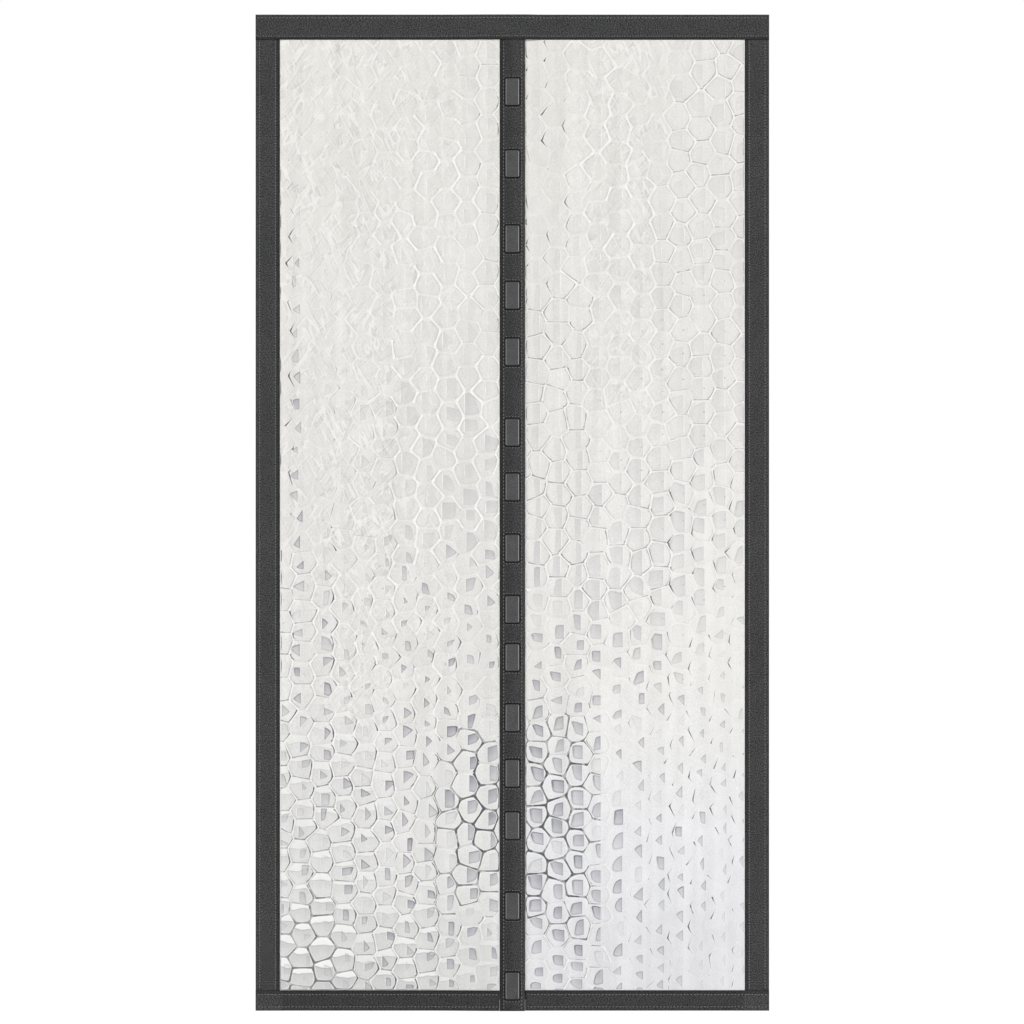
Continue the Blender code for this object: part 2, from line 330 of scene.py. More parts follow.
# How the cells look at places over a panel, counted out from the centre tape (0 to 1) and up from
# the hem (0 to 1). A cell takes the looks near it.
# line: painted shade in the grooves, on a share of the edges. point: painted groove shade at the pointed
# side. pale: painted ridge highlights.
# pane: a grey painted reflection that starts at a straight upright side (start, mm from the middle of the
# column towards the point), is width mm wide and half mm tall each way, and closes to its tip as a triangle
# (power 1), a round (2) or a box (5), with its rim painted darker by edge.
# dot: a small dark dot, painted as the shade in a pit. cap: a painted highlight on an upper lip over a face
# in painted shade. relief: how far the cell stands out.
# crumple: soft creases, as bumps with painted fold highlights and shade. wild: how uneven the panes are.
lookNames = (
    "line", "share", "point", "pale",
    "pane", "start", "width", "half", "power", "edge",
    "dot", "cap", "relief", "crumple", "wild",
)
lookReach = (0.10, 0.085)
filmLooks = {
    "right": {
        (0.04, 0.16): (0.95, 1, 0, 0, 0.95, -16, 27, 17, 8, 0.8, 0, 0, 1, 0, 0.2),
        (0.18, 0.17): (0.95, 1, 0, 0, 0.90, -14, 26, 17, 7, 0.8, 0, 0, 1, 0, 0.2),
        (0.28, 0.17): (0.86, 0.9, 0.2, 0, 0.70, -8, 20, 17, 4, 0.8, 0, 0, 0.9, 0, 0.2),
        (0.12, 0.10): (0.90, 1, 0, 0, 0.90, -15, 26, 16, 6, 0.8, 0, 0, 1, 0, 0.2),
        (0.12, 0.24): (0.90, 1, 0, 0, 0.90, -13, 24, 15, 5, 0.8, 0, 0, 1, 0, 0.2),
        (0.43, 0.16): (0, 0.3, 0, 0, 0.75, -7, 20, 19, 2.4, 0.9, 0, 0, 0.3, 0, 0.2),
        (0.56, 0.16): (0, 0.3, 0.3, 0, 0.50, -6, 18, 15, 1.2, 1, 0, 0, 0.3, 0, 0.4),
        (0.72, 0.16): (0.05, 0.3, 1.2, 0, 0.50, -4, 13, 13, 1.1, 1.2, 0, 0, 0.3, 0.1, 0.4),
        (0.92, 0.16): (0.16, 0.4, 1.2, 0, 0.30, -4, 10, 13, 1, 1.1, 0.3, 0, 0.3, 0.4, 0.6),
        (0.12, 0.01): (0.10, 0.4, 0.1, 0.2, 0.85, -13, 22, 9, 1.8, 0.8, 0, 0, 0.5, 0.2, 0.2),
        (0.55, 0.01): (0.08, 0.3, 0.6, 0, 0.50, -7, 15, 10, 1.2, 0.9, 0.2, 0, 0.3, 0.3, 0.2),
        (0.90, 0.01): (0.10, 0.3, 0.7, 0, 0.12, -4, 8, 14, 1, 0.9, 0.2, 0, 0.3, 0.4, 0.2),
        (0.12, 0.33): (0.22, 0.4, 0.1, 0.2, 0.70, -12, 21, 10, 2, 0.9, 0.1, 0, 0.7, 0.2, 0.5),
        (0.45, 0.31): (0.08, 0.4, 0.7, 0.1, 0.55, -6, 17, 12, 1.6, 0.9, 0.2, 0, 0.5, 0.3, 0.6),
        (0.85, 0.32): (0.05, 0.3, 0.9, 0.1, 0.36, -5, 12, 10, 1.2, 0.9, 0.6, 0, 0.3, 0.4, 0.6),
        (0.15, 0.48): (0.54, 0.9, 0.1, 0.1, 0.28, -10, 15, 34, 5, 0.1, 0.2, 0, 0.9, 0.3, 0.3),
        (0.45, 0.47): (0.55, 0.8, 0.3, 0.1, 0.28, -5, 40, 26, 8, 0.2, 0.6, 0, 0.8, 0.3, 0.3),
        (0.80, 0.45): (0.26, 0.6, 1, 0.1, 0.26, -6, 34, 22, 5, 0.5, 0.8, 0, 0.6, 0.3, 0.4),
        (0.12, 0.68): (0.50, 0.7, 0.6, 0.3, 0.14, -8, 15, 34, 5, 0.2, 0.1, 0, 0.8, 0.4, 0.4),
        (0.45, 0.66): (0.12, 0.6, 0.1, 0.7, 0.16, -3, 36, 26, 7, 0.2, 0.8, 0, 0.7, 0.7, 0.4),
        (0.80, 0.66): (0.40, 0.8, 0.3, 0.3, 0.18, -3, 36, 26, 7, 0.3, 1, 0, 0.7, 0.5, 0.4),
        (0.08, 0.86): (0.10, 0.4, 1.2, 0.3, 0.08, -6, 20, 22, 3, 0.1, 0, 0, 0.4, 0.5, 0.5),
        (0.40, 0.88): (0.03, 0.5, 0.1, 1, 0.06, -5, 24, 20, 3, 0.1, 0, 0, 0.6, 0.7, 0.5),
        (0.78, 0.84): (0.42, 0.8, 0.2, 0.4, 0.12, -3, 30, 20, 3, 0.3, 0.2, 0, 0.7, 0.4, 0.5),
        (0.50, 1.00): (0.01, 0.5, 0.1, 0.4, 0.04, -5, 20, 20, 3, 0.1, 0, 0, 0.2, 0.9, 0.5),
    },
    "left": {
        (0.04, 0.17): (0.95, 1, 0, 0, 0.90, 2, 26, 18, 8, 0.6, 0, 0, 1, 0, 0.2),
        (0.14, 0.18): (0.95, 1, 0, 0, 0.90, 1, 25, 18, 6, 0.8, 0, 0, 1, 0, 0.2),
        (0.24, 0.17): (0.60, 0.8, 0.4, 0.1, 0.90, 0, 22, 18, 2.4, 0.9, 0, 0, 0.8, 0.1, 0.9),
        (0.44, 0.17): (0.44, 0.8, 1.2, 0.4, 0.95, -2, 20, 16, 1.5, 1.1, 0.1, 0, 0.8, 0.3, 0.8),
        (0.64, 0.17): (0.54, 1, 1, 0.3, 0.70, -3, 20, 14, 1.6, 1.1, 0.2, 0.40, 1, 0.4, 0.8),
        (0.90, 0.17): (0.54, 1, 0.8, 0.2, 0.55, -4, 19, 13, 2, 1, 0.2, 0.40, 1, 0.4, 0.8),
        (0.85, 0.02): (0.66, 0.9, 0.4, 0, 0.25, 4, 16, 10, 2, 0.6, 0, 1, 1, 0.3, 0.9),
        (0.40, 0.02): (0.54, 1, 0.8, 0.2, 0.80, 0, 18, 12, 2, 1, 0, 0.75, 0.9, 0.4, 0.9),
        (0.08, 0.02): (0.10, 0.4, 0.1, 0.3, 0.75, 0, 18, 10, 3, 0.7, 0, 0.3, 0.6, 0.3, 0.9),
        (0.10, 0.36): (0.14, 0.4, 0.8, 0.5, 0.80, -2, 18, 11, 1.5, 0.9, 0.3, 0, 0.6, 0.4, 0.9),
        (0.32, 0.36): (0.12, 0.4, 0.8, 0.7, 0.75, -4, 15, 10, 1.4, 1, 0.8, 0, 0.5, 0.7, 0.9),
        (0.60, 0.36): (0.20, 0.5, 0.8, 0.8, 0.50, -3, 14, 10, 1.4, 0.9, 1, 0, 0.6, 0.9, 0.9),
        (0.90, 0.36): (0.48, 0.7, 1.2, 0.4, 0.80, 0, 24, 15, 1.4, 1, 0.4, 0.1, 0.8, 0.6, 0.8),
        (0.12, 0.55): (0.12, 0.5, 0.3, 1, 0.34, -5, 34, 24, 3.2, 0.1, 0, 0, 0.8, 0.3, 0.9),
        (0.35, 0.55): (0.04, 0.5, 0.2, 1, 0.26, -4, 26, 22, 3.2, 0.1, 0, 0, 0.6, 0.6, 0.9),
        (0.65, 0.55): (0.34, 0.5, 0.5, 0.6, 0.22, -4, 16, 16, 1.6, 0.4, 0.3, 0, 0.6, 1, 0.9),
        (0.96, 0.60): (0.10, 0.4, 1.6, 0.1, 1, 5, 18, 14, 1.2, 1.1, 0.1, 0, 0.5, 0.7, 0.7),
        (0.80, 0.60): (0.06, 0.3, 0.5, 0.2, 0.08, 6, 16, 12, 1.2, 0.5, 0.1, 0, 0.3, 0.9, 0.9),
        (0.08, 0.78): (0.36, 0.5, 0.4, 0.7, 0.14, -4, 20, 22, 3, 0.1, 0, 0, 0.6, 0.4, 0.9),
        (0.28, 0.80): (0.06, 0.5, 0.1, 1, 0.14, -4, 28, 20, 3, 0, 0, 0, 0.6, 0.6, 0.9),
        (0.62, 0.78): (0.01, 0.4, 0.1, 0.6, 0.05, -4, 14, 20, 3, 0, 0.1, 0, 0.2, 0.9, 0.9),
        (0.96, 0.76): (0.04, 0.4, 1.6, 0.1, 0.70, 7, 14, 12, 1, 1, 0.1, 0, 0.3, 0.7, 0.7),
        (0.80, 0.76): (0.01, 0.3, 0.2, 0.2, 0.03, 8, 12, 10, 1, 0.5, 0.1, 0, 0.2, 1, 0.9),
        (0.96, 0.92): (0.01, 0.3, 0.4, 0.2, 0.03, 8, 12, 10, 1, 0.5, 0.1, 0, 0.1, 1, 0.9),
        (0.50, 1.00): (0.01, 0.4, 0.1, 0.5, 0.03, -4, 16, 20, 3, 0, 0, 0, 0.1, 0.9, 0.9),
    },
}


def lookAt(side, out, up):
    total = 0.0
    blended = [0.0] * len(lookNames)
    for (atOut, atUp), look in filmLooks["right" if side > 0 else "left"].items():
        weight = math.exp(-((out - atOut) / lookReach[0]) ** 2 - ((up - atUp) / lookReach[1]) ** 2) + 1e-9
        total += weight
        for k, value in enumerate(look):
            blended[k] += weight * value
    return {name: value / total for name, value in zip(lookNames, blended)}


filmTones = {
    "warm": (0.775, 0.757, 0.717),
    "plain": (0.785, 0.779, 0.757),
    "cool": (0.775, 0.776, 0.805),
    "grey": (0.690, 0.688, 0.676),
}


def cellTone(side, out, up, chance):
    # warm at the top, plain in the middle, cool at the foot, and greyer in the left panel's foot
    warm = float(ease(up, 0.30, 0.95)) * float(1 - 0.5 * ease(out, 0.4, 1.0) * (side > 0))
    cool = float(1 - ease(up, 0.12, 0.34)) * (0.80 if side > 0 else 0.22)
    grey = float(1 - ease(up, 0.03, 0.13)) * (0.75 if side < 0 else 0.15)
    cool *= 1 - grey
    shares = (("warm", warm), ("cool", cool), ("grey", grey), ("plain", 1 - warm - cool - grey))
    middle = float(ease(up, 0.06, 0.16) * (1 - ease(up, 0.50, 0.80)))
    level = 1 + 0.055 * middle * float(ease(out, 0.15, 0.45)) if side > 0 else 1 - 0.03 * middle
    level *= chance.uniform(0.985, 1.015)
    return [level * sum(share * filmTones[name][k] for name, share in shares) for k in range(3)]


def cellSites(inner, outer, low, high, seed):
    # middles of the cells with their columns' places, as in the solid film
    c = filmCells
    chance = random.Random(seed)
    pitch = math.copysign(c["column"], outer - inner)
    sites = []
    columns = []
    for column in range(-2, math.ceil(abs(outer - inner) / c["column"]) + 2):
        x = inner + (column + 0.5) * pitch
        z = low - 3 * c["rowBottom"]
        if column % 2:
            z += c["rowBottom"] / 2
        while z < high + 3 * c["rowTop"]:
            share = min(1.0, max(0.0, (z - low) / (high - low)))
            row = c["rowBottom"] + (c["rowTop"] - c["rowBottom"]) * share
            shift = [c["shift"] * chance.uniform(-1, 1) for _ in range(2)]
            sites.append(Vector((x + shift[0] * c["column"], z + shift[1] * row)))
            columns.append(x)
            z += row
    return sites, columns


def circumcentre(a, b, c):
    p = b - a
    q = c - a
    twice = 2 * (p.x * q.y - p.y * q.x)
    return a + Vector((
        (q.y * p.length_squared - p.y * q.length_squared) / twice,
        (p.x * q.length_squared - q.x * p.length_squared) / twice,
    ))


def clipped(polygon, axis, limit, sign):
    kept = []
    for k, here in enumerate(polygon):
        before = polygon[k - 1]
        hereIn = sign * (here[axis] - limit) <= 0
        beforeIn = sign * (before[axis] - limit) <= 0
        if hereIn != beforeIn:
            cut = before + (here - before) * ((limit - before[axis]) / (here[axis] - before[axis]))
            cut[axis] = limit
            kept.append(cut)
        if hereIn:
            kept.append(here.copy())
    return kept


def cellOutlines(inner, outer, low, high, seed):
    # each cell is what lies nearest to its middle; its column's place is kept with its outline
    c = filmCells
    left, right = sorted((inner, outer))
    given, columns = cellSites(inner, outer, low, high, seed)
    sites, _, triangles, *_ = delaunay_2d_cdt(given, [], [], 0, c["weld"])
    corners = [[] for _ in sites]
    for triangle in triangles:
        centre = circumcentre(*(sites[k] for k in triangle))
        for k in triangle:
            corners[k].append(centre)
    found = []
    for site, outline in zip(sites, corners):
        nearX = left - c["column"] < site.x < right + c["column"]
        nearZ = low - c["rowTop"] < site.y < high + c["rowTop"]
        if not (nearX and nearZ):
            continue
        outline.sort(key=lambda corner: math.atan2(corner.y - site.y, corner.x - site.x))
        for axis, limit, sign in ((0, left, -1), (0, right, 1), (1, low, -1), (1, high, 1)):
            outline = clipped(outline, axis, limit, sign)
        if len(outline) > 2:
            found.append((min(columns, key=lambda x: abs(x - site.x)), outline))
    return found


def outlineCentre(outline):
    area = 0.0
    centre = Vector((0.0, 0.0))
    for k, here in enumerate(outline):
        cross = outline[k - 1].x * here.y - here.x * outline[k - 1].y
        area += cross / 2
        centre += (outline[k - 1] + here) * (cross / 6)
    return centre / area, area


def ringPoints(outline, centre):
    # the outline's points with its edges cut in steps: place, distance to the centre, is a corner, edge
    steps = filmCells["edgeSteps"]
    spans = []
    for k, a in enumerate(outline):
        edge = outline[(k + 1) % len(outline)] - a
        away = Vector((edge.y, -edge.x)).normalized()
        spans.append((a, edge, max(0.0005, (a - centre).dot(away))))
    points = []
    for k, (a, edge, gap) in enumerate(spans):
        before = spans[k - 1][2]
        for step in range(steps):
            own = (gap + before) / 2 if step == 0 else gap
            points.append((a + edge * (step / steps), own, step == 0, k))
    return points


def edgeMarks(look, pointing, a, b):
    # painted groove shade (line and pointed stroke) and painted ridge highlight of one edge, the same from
    # both of its cells
    chance = random.Random(round((a.x + b.x) * 5000) * 7919 + round((a.y + b.y) * 5000))
    along = (b - a).normalized()
    strong = chance.random() < look["share"]
    line = look["line"] * (chance.uniform(0.75, 1.15) if strong else chance.uniform(0.1, 0.4))
    ridgeHighlight = look["pale"] * (chance.random() < 0.75) * chance.uniform(0.5, 1.1)
    # a faint edge keeps its painted shade where its cell falls away to the lower right, and its groove gets
    # a painted highlight
    falling = float(ease(0.5 * along.y + 0.85 * along.x, -0.5, 0.5))
    faint = float(1 - ease(look["line"], 0.46, 0.68))
    ridgeHighlight = max(ridgeHighlight, 0.85 * min(1.0, line * 2) * faint)
    line *= 1 - faint * (0.75 - 0.85 * falling)
    upright = float(ease(abs(along.y), 0.2, 0.6))
    towards = float(ease(max(0.0, along.y * pointing), 0.2, 0.7))
    stroke = look["point"] * towards * (chance.random() < 0.7) * chance.uniform(0.5, 1.0)
    return line, stroke, min(1.0, ridgeHighlight * (0.25 + 0.75 * upright))


def cellMarks(look, pointing, outline, chance):
    # this cell's own marks: values for each edge's painted groove shade (line and stroke) and painted ridge
    # highlight, then its painted pane reflection, pane cut and painted cap light and shade
    edges = [edgeMarks(look, pointing, a, outline[(k + 1) % len(outline)]) for k, a in enumerate(outline)]
    wild = look["wild"]
    span = placeMillimetres
    shown = chance.random() > 0.06 + 0.22 * wild
    pane = min(1.0, look["pane"] * chance.uniform(0.85 - 0.5 * wild, 1.15)) * (1.0 if shown else 0.2)
    start = look["start"] + (2.0 + 5.0 * wild) * chance.uniform(-1, 1)
    width = look["width"] * chance.uniform(0.80 - 0.35 * wild, 1.15)
    half = look["half"] * chance.uniform(0.80 - 0.35 * wild, 1.1)
    middle = (3.0 + 5.0 * wild) * chance.uniform(-1, 1)
    lean = (0.30 + 0.15 * wild) * chance.uniform(-1, 1)
    power = look["power"] * chance.uniform(0.85 - 0.25 * wild, 1.2 + 0.8 * wild)
    if wild > 0.25:
        power = 7.5 if chance.random() < (power - 1) / 2.5 else 1.15
    dot = look["dot"] * (chance.random() < 0.55) * chance.uniform(0.5, 1.0)
    capAt = chance.uniform(6.0, 15.0)
    return {
        "edges": edges,
        "pane": (pane, 0.5 + start / span, width / span, look["edge"] * chance.uniform(0.6, 1.2)),
        "cut": (0.5 + middle / span, 0.5 + lean, half / span, power / paneCorners),
        "cap": (look["cap"], 0.5 + capAt / span, dot),
    }


def addCell(column, outline, side, bounds, chance, made):
    # one cell: rings from its groove up to its crown, with what the shader needs at each face corner
    c = filmCells
    inner, outer, low, high = bounds
    centre, area = outlineCentre(outline)
    radius = math.sqrt(area / math.pi)
    out = (centre.x - inner) / (outer - inner)
    up = (centre.y - low) / (high - low)
    # panes point towards the centre tape, but outwards along the left panel's far edge
    pointing = side if side < 0 and out > 0.84 and up > 0.30 else -side
    points = ringPoints(outline, centre)
    look = lookAt(side, out, up)
    marks = cellMarks(look, pointing, outline, chance)
    tone = cellTone(side, out, up, chance)
    relief = c["relief"] * min(1.0, radius / c["leastRadius"]) * look["relief"] * chance.uniform(0.7, 1.0)
    first = len(made["vertices"])
    ringSize = len(points)
    for inset, rise, pull in zip(c["insets"], c["rises"], c["corners"]):
        for place, gap, isCorner, _ in points:
            share = min(inset / gap, inset / c["insets"][-1] * 0.8)
            pulled = centre + (place - centre) * (1 - share) * (1 - pull * isCorner)
            made["vertices"].append((pulled.x, -filmFront - relief * rise, pulled.y))
    made["vertices"].append((centre.x, -filmFront - relief, centre.y))
    middle = len(made["vertices"]) - 1
    last = len(c["insets"]) - 1

    def addFace(face, rings, edge):
        line, stroke, ridgeHighlight = marks["edges"][edge]
        made["faces"].append(face)
        for index, ring in zip(face, rings):
            x, _, z = made["vertices"][index]
            deep = c["insets"][ring] if ring <= last else max(radius * 0.8, c["insets"][-1] + 0.002)
            along = (x - column) * pointing
            made["place"].append((along / placeSpan + 0.5, (z - centre.y) / placeSpan + 0.5))
            nearTip = min(1.0, max(0.0, 1.7 - abs(z - centre.y) / (0.45 * radius)))
            made["rim"].append((deep / rimSpan, min(1.0, line + nearTip * stroke)))
            made["pane"].append(marks["pane"])
            made["cut"].append(marks["cut"])
            made["cap"].append((*marks["cap"], ridgeHighlight))
            made["tone"].append((*tone, look["crumple"]))

    for ring in range(last):
        for k in range(ringSize):
            near = first + ring * ringSize
            after = (k + 1) % ringSize
            face = (near + k, near + after, near + ringSize + after, near + ringSize + k)
            addFace(face, (ring, ring, ring + 1, ring + 1), points[k][3])
    top = first + last * ringSize
    for k in range(ringSize):
        addFace((top + k, top + (k + 1) % ringSize, middle), (last, last, last + 1), points[k][3])


def filmForward(side, x, z, bounds):
    # how far the film stands forward: its lift into the centre tape, and long upright waves
    inner, outer, low, high = bounds
    lift = filmLift * ease(x, -halfCentre - runs["lift"], -halfCentre) if side < 0 else 0.0
    out = np.clip((x - inner) / (outer - inner), 0.0, 1.0)
    up = np.clip((z - low) / (high - low), 0.0, 1.0)
    held = np.minimum(1.0, 6 * np.minimum(out, 1 - out)) * np.minimum(1.0, 12 * np.minimum(up, 1 - up))
    return lift + filmCells["wave"] * held * ripple(np.abs(x), 0.02 * z, 5 + side)


def addMargin(mesh, bounds, sheetLow, sheetHigh):
    # the flat margins that the tapes cover, and a front that faces forward
    inner, outer, low, high = bounds
    left, right = sorted((inner, outer))
    near = filmCells["weld"]
    bm = bmesh.new()
    bm.from_mesh(mesh)
    bmesh.ops.remove_doubles(bm, verts=bm.verts, dist=near)
    rim = [edge for edge in bm.edges if edge.is_boundary]
    margin = bmesh.ops.extrude_edge_only(bm, edges=rim)["geom"]
    for vert in (item for item in margin if isinstance(item, bmesh.types.BMVert)):
        if abs(vert.co.x - left) < near or abs(vert.co.x - right) < near:
            vert.co.x = sheetLow.x if vert.co.x < (left + right) / 2 else sheetHigh.x
        if abs(vert.co.z - low) < near or abs(vert.co.z - high) < near:
            vert.co.z = sheetLow.z if vert.co.z < (low + high) / 2 else sheetHigh.z
    rimLayer = bm.loops.layers.uv["rim"]
    plain = {"pane": (0.0, 0.5, 0.5, 0.0), "cut": (0.5, 0.5, 0.3, 0.2), "cap": (0.0, 0.5, 0.0, 0.0)}
    layers = {setName: bm.loops.layers.float_color[setName] for setName in plain}
    for face in (item for item in margin if isinstance(item, bmesh.types.BMFace)):
        for loop in face.loops:
            loop[rimLayer].uv = (1.0, 0.0)
            for setName, layer in layers.items():
                loop[layer] = plain[setName]
    bmesh.ops.recalc_face_normals(bm, faces=bm.faces)
    if sum(face.normal.y * face.calc_area() for face in bm.faces) > 0:
        bmesh.ops.reverse_faces(bm, faces=bm.faces)
    bm.to_mesh(mesh)
    bm.free()


def filmPiece(name, node, side, seed):
    sheetLow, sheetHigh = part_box(node)
    margin = filmCells["margin"]
    inner = side * (halfCentre + margin)
    outer = side * (sideEdge - margin)
    bounds = (inner, outer, hemTop + margin, headerFoot - margin)
    chance = random.Random(seed + 100)
    made = {part: [] for part in ("vertices", "faces", "place", "rim", "pane", "cut", "cap", "tone")}
    for column, outline in cellOutlines(*bounds, seed):
        addCell(column, outline, side, bounds, chance, made)
    piece = meshObject(name, made["vertices"], made["faces"])
    mesh = piece.data
    for mapName in ("place", "rim"):
        layer = mesh.uv_layers.new(name=mapName)
        layer.data.foreach_set("uv", np.array(made[mapName], np.float32).ravel())
    for setName in ("pane", "cut", "cap", "tone"):
        layer = mesh.attributes.new(setName, "FLOAT_COLOR", "CORNER")
        layer.data.foreach_set("color", np.array(made[setName], np.float32).ravel())
    addMargin(mesh, bounds, sheetLow, sheetHigh)
    places = vertexPlaces(mesh)
    places[:, 1] -= filmForward(side, places[:, 0], places[:, 2], bounds)
    mesh.vertices.foreach_set("co", places.ravel())
    mesh.shade_smooth()
    applied(piece, "SOLIDIFY", thickness=filmWall, offset=-1.0)
    mesh.update()
    print(name, len(mesh.polygons), "faces")
    return piece


# the marks' colours, in the order in which they are laid on: painted highlights, painted shade and painted
# reflections
filmInks = {
    "foldHighlight": (0.93, 0.91, 0.88),
    "face": (0.50, 0.50, 0.515),
    "lipHighlight": (0.90, 0.90, 0.885),
    "creaseShade": (0.26, 0.26, 0.27),
    "ridgeHighlight": (0.92, 0.91, 0.89),
    "paneHighlight": (0.92, 0.91, 0.89),
    "glint": (0.92, 0.92, 0.91),
    "pane": (0.34, 0.335, 0.385),
    "paneRimReflection": (0.13, 0.13, 0.15),
    "pit": (0.24, 0.24, 0.25),
    "groove": (0.085, 0.085, 0.095),
}


def paneShape(g, given):
    # the pane's painted reflection: its grey fill and darker sides, and the painted highlight strip beside
    # it, from places in millimetres
    placeX, placeZ, _ = g.parts(given["Place"])
    deep, _, _ = g.parts(given["Rim"])
    _, start, width = g.parts(given["Pane"])
    middle, lean, half = g.parts(given["Cut"])
    power = g.product(given["Power"], paneCorners)
    beyondStart = g.minus(placeX, start)
    across = g.product(beyondStart, placeMillimetres)
    tilt = g.minus(lean, 0.5)
    slope = g.product(tilt, beyondStart)
    tall = g.math("DIVIDE", g.minus(g.minus(placeZ, middle), slope), half)
    slant = g.blend(g.product(tilt, tall), 0.8, 1.0)
    over = g.most(g.math("DIVIDE", beyondStart, g.product(width, slant)), 0.0)
    reach = g.math("ADD", g.math("POWER", over, power), g.math("POWER", g.math("ABSOLUTE", tall), power))
    rim = g.blend(power, 0.12, 0.10)
    left = g.math("DIVIDE", g.minus(1.0, reach), rim)
    opened = g.step(across, -0.5, 0.5)
    inset = g.math("MINIMUM", g.product(power, 0.085), 0.28)
    beyond = g.minus(deep, inset)
    within = g.step(beyond, -0.03, 0.06)
    shape = g.product(opened, g.step(left, -0.2, 0.3), within)
    fading = g.product(g.step(across, 0.0, 26.0, 1.0, 0.60), g.step(tall, -0.8, 0.6, 0.65, 1.0))
    sideLine = g.step(across, 0.6, 2.6, 0.7, 0.0)
    rimLine = g.product(g.fall(left, 0.5, 1.1), g.step(tall, -0.7, 0.3, 0.5, 1.0))
    insetLine = g.step(beyond, 0.06, 0.20, 0.8, 0.0)
    paneRimReflection = g.product(shape, g.most(sideLine, rimLine, insetLine))
    paneHighlight = g.product(g.step(across, -2.8, -1.4), g.fall(across, -1.0, -0.2),
                       g.fall(g.math("ABSOLUTE", tall), 0.9, 1.1), within)
    return g.product(shape, fading), paneRimReflection, paneHighlight


def stretchedNoise(g, spot, size, tilt, detail):
    # noise with its own size along each axis, in metres, leaning by a tilt
    node = g.add("ShaderNodeMapping", vector_type="TEXTURE")
    g.put(spot, node.inputs["Vector"])
    node.inputs["Rotation"].default_value = (0.0, tilt, 0.0)
    node.inputs["Scale"].default_value = size
    return g.noise(node.outputs[0], 1.0, detail)


def foldMarks(g, spot, size, tilt, shown):
    # short folds in slack film: a painted highlight on the crest and painted shade beside it, where shown is
    # not 0
    level = g.minus(stretchedNoise(g, spot, size, tilt, 0.8), 0.5)
    foldHighlight = g.product(g.fall(g.math("ABSOLUTE", level), 0.008, 0.034), shown)
    shade = g.product(g.step(level, 0.012, 0.035), g.fall(level, 0.04, 0.13), shown)
    return foldHighlight, shade, level


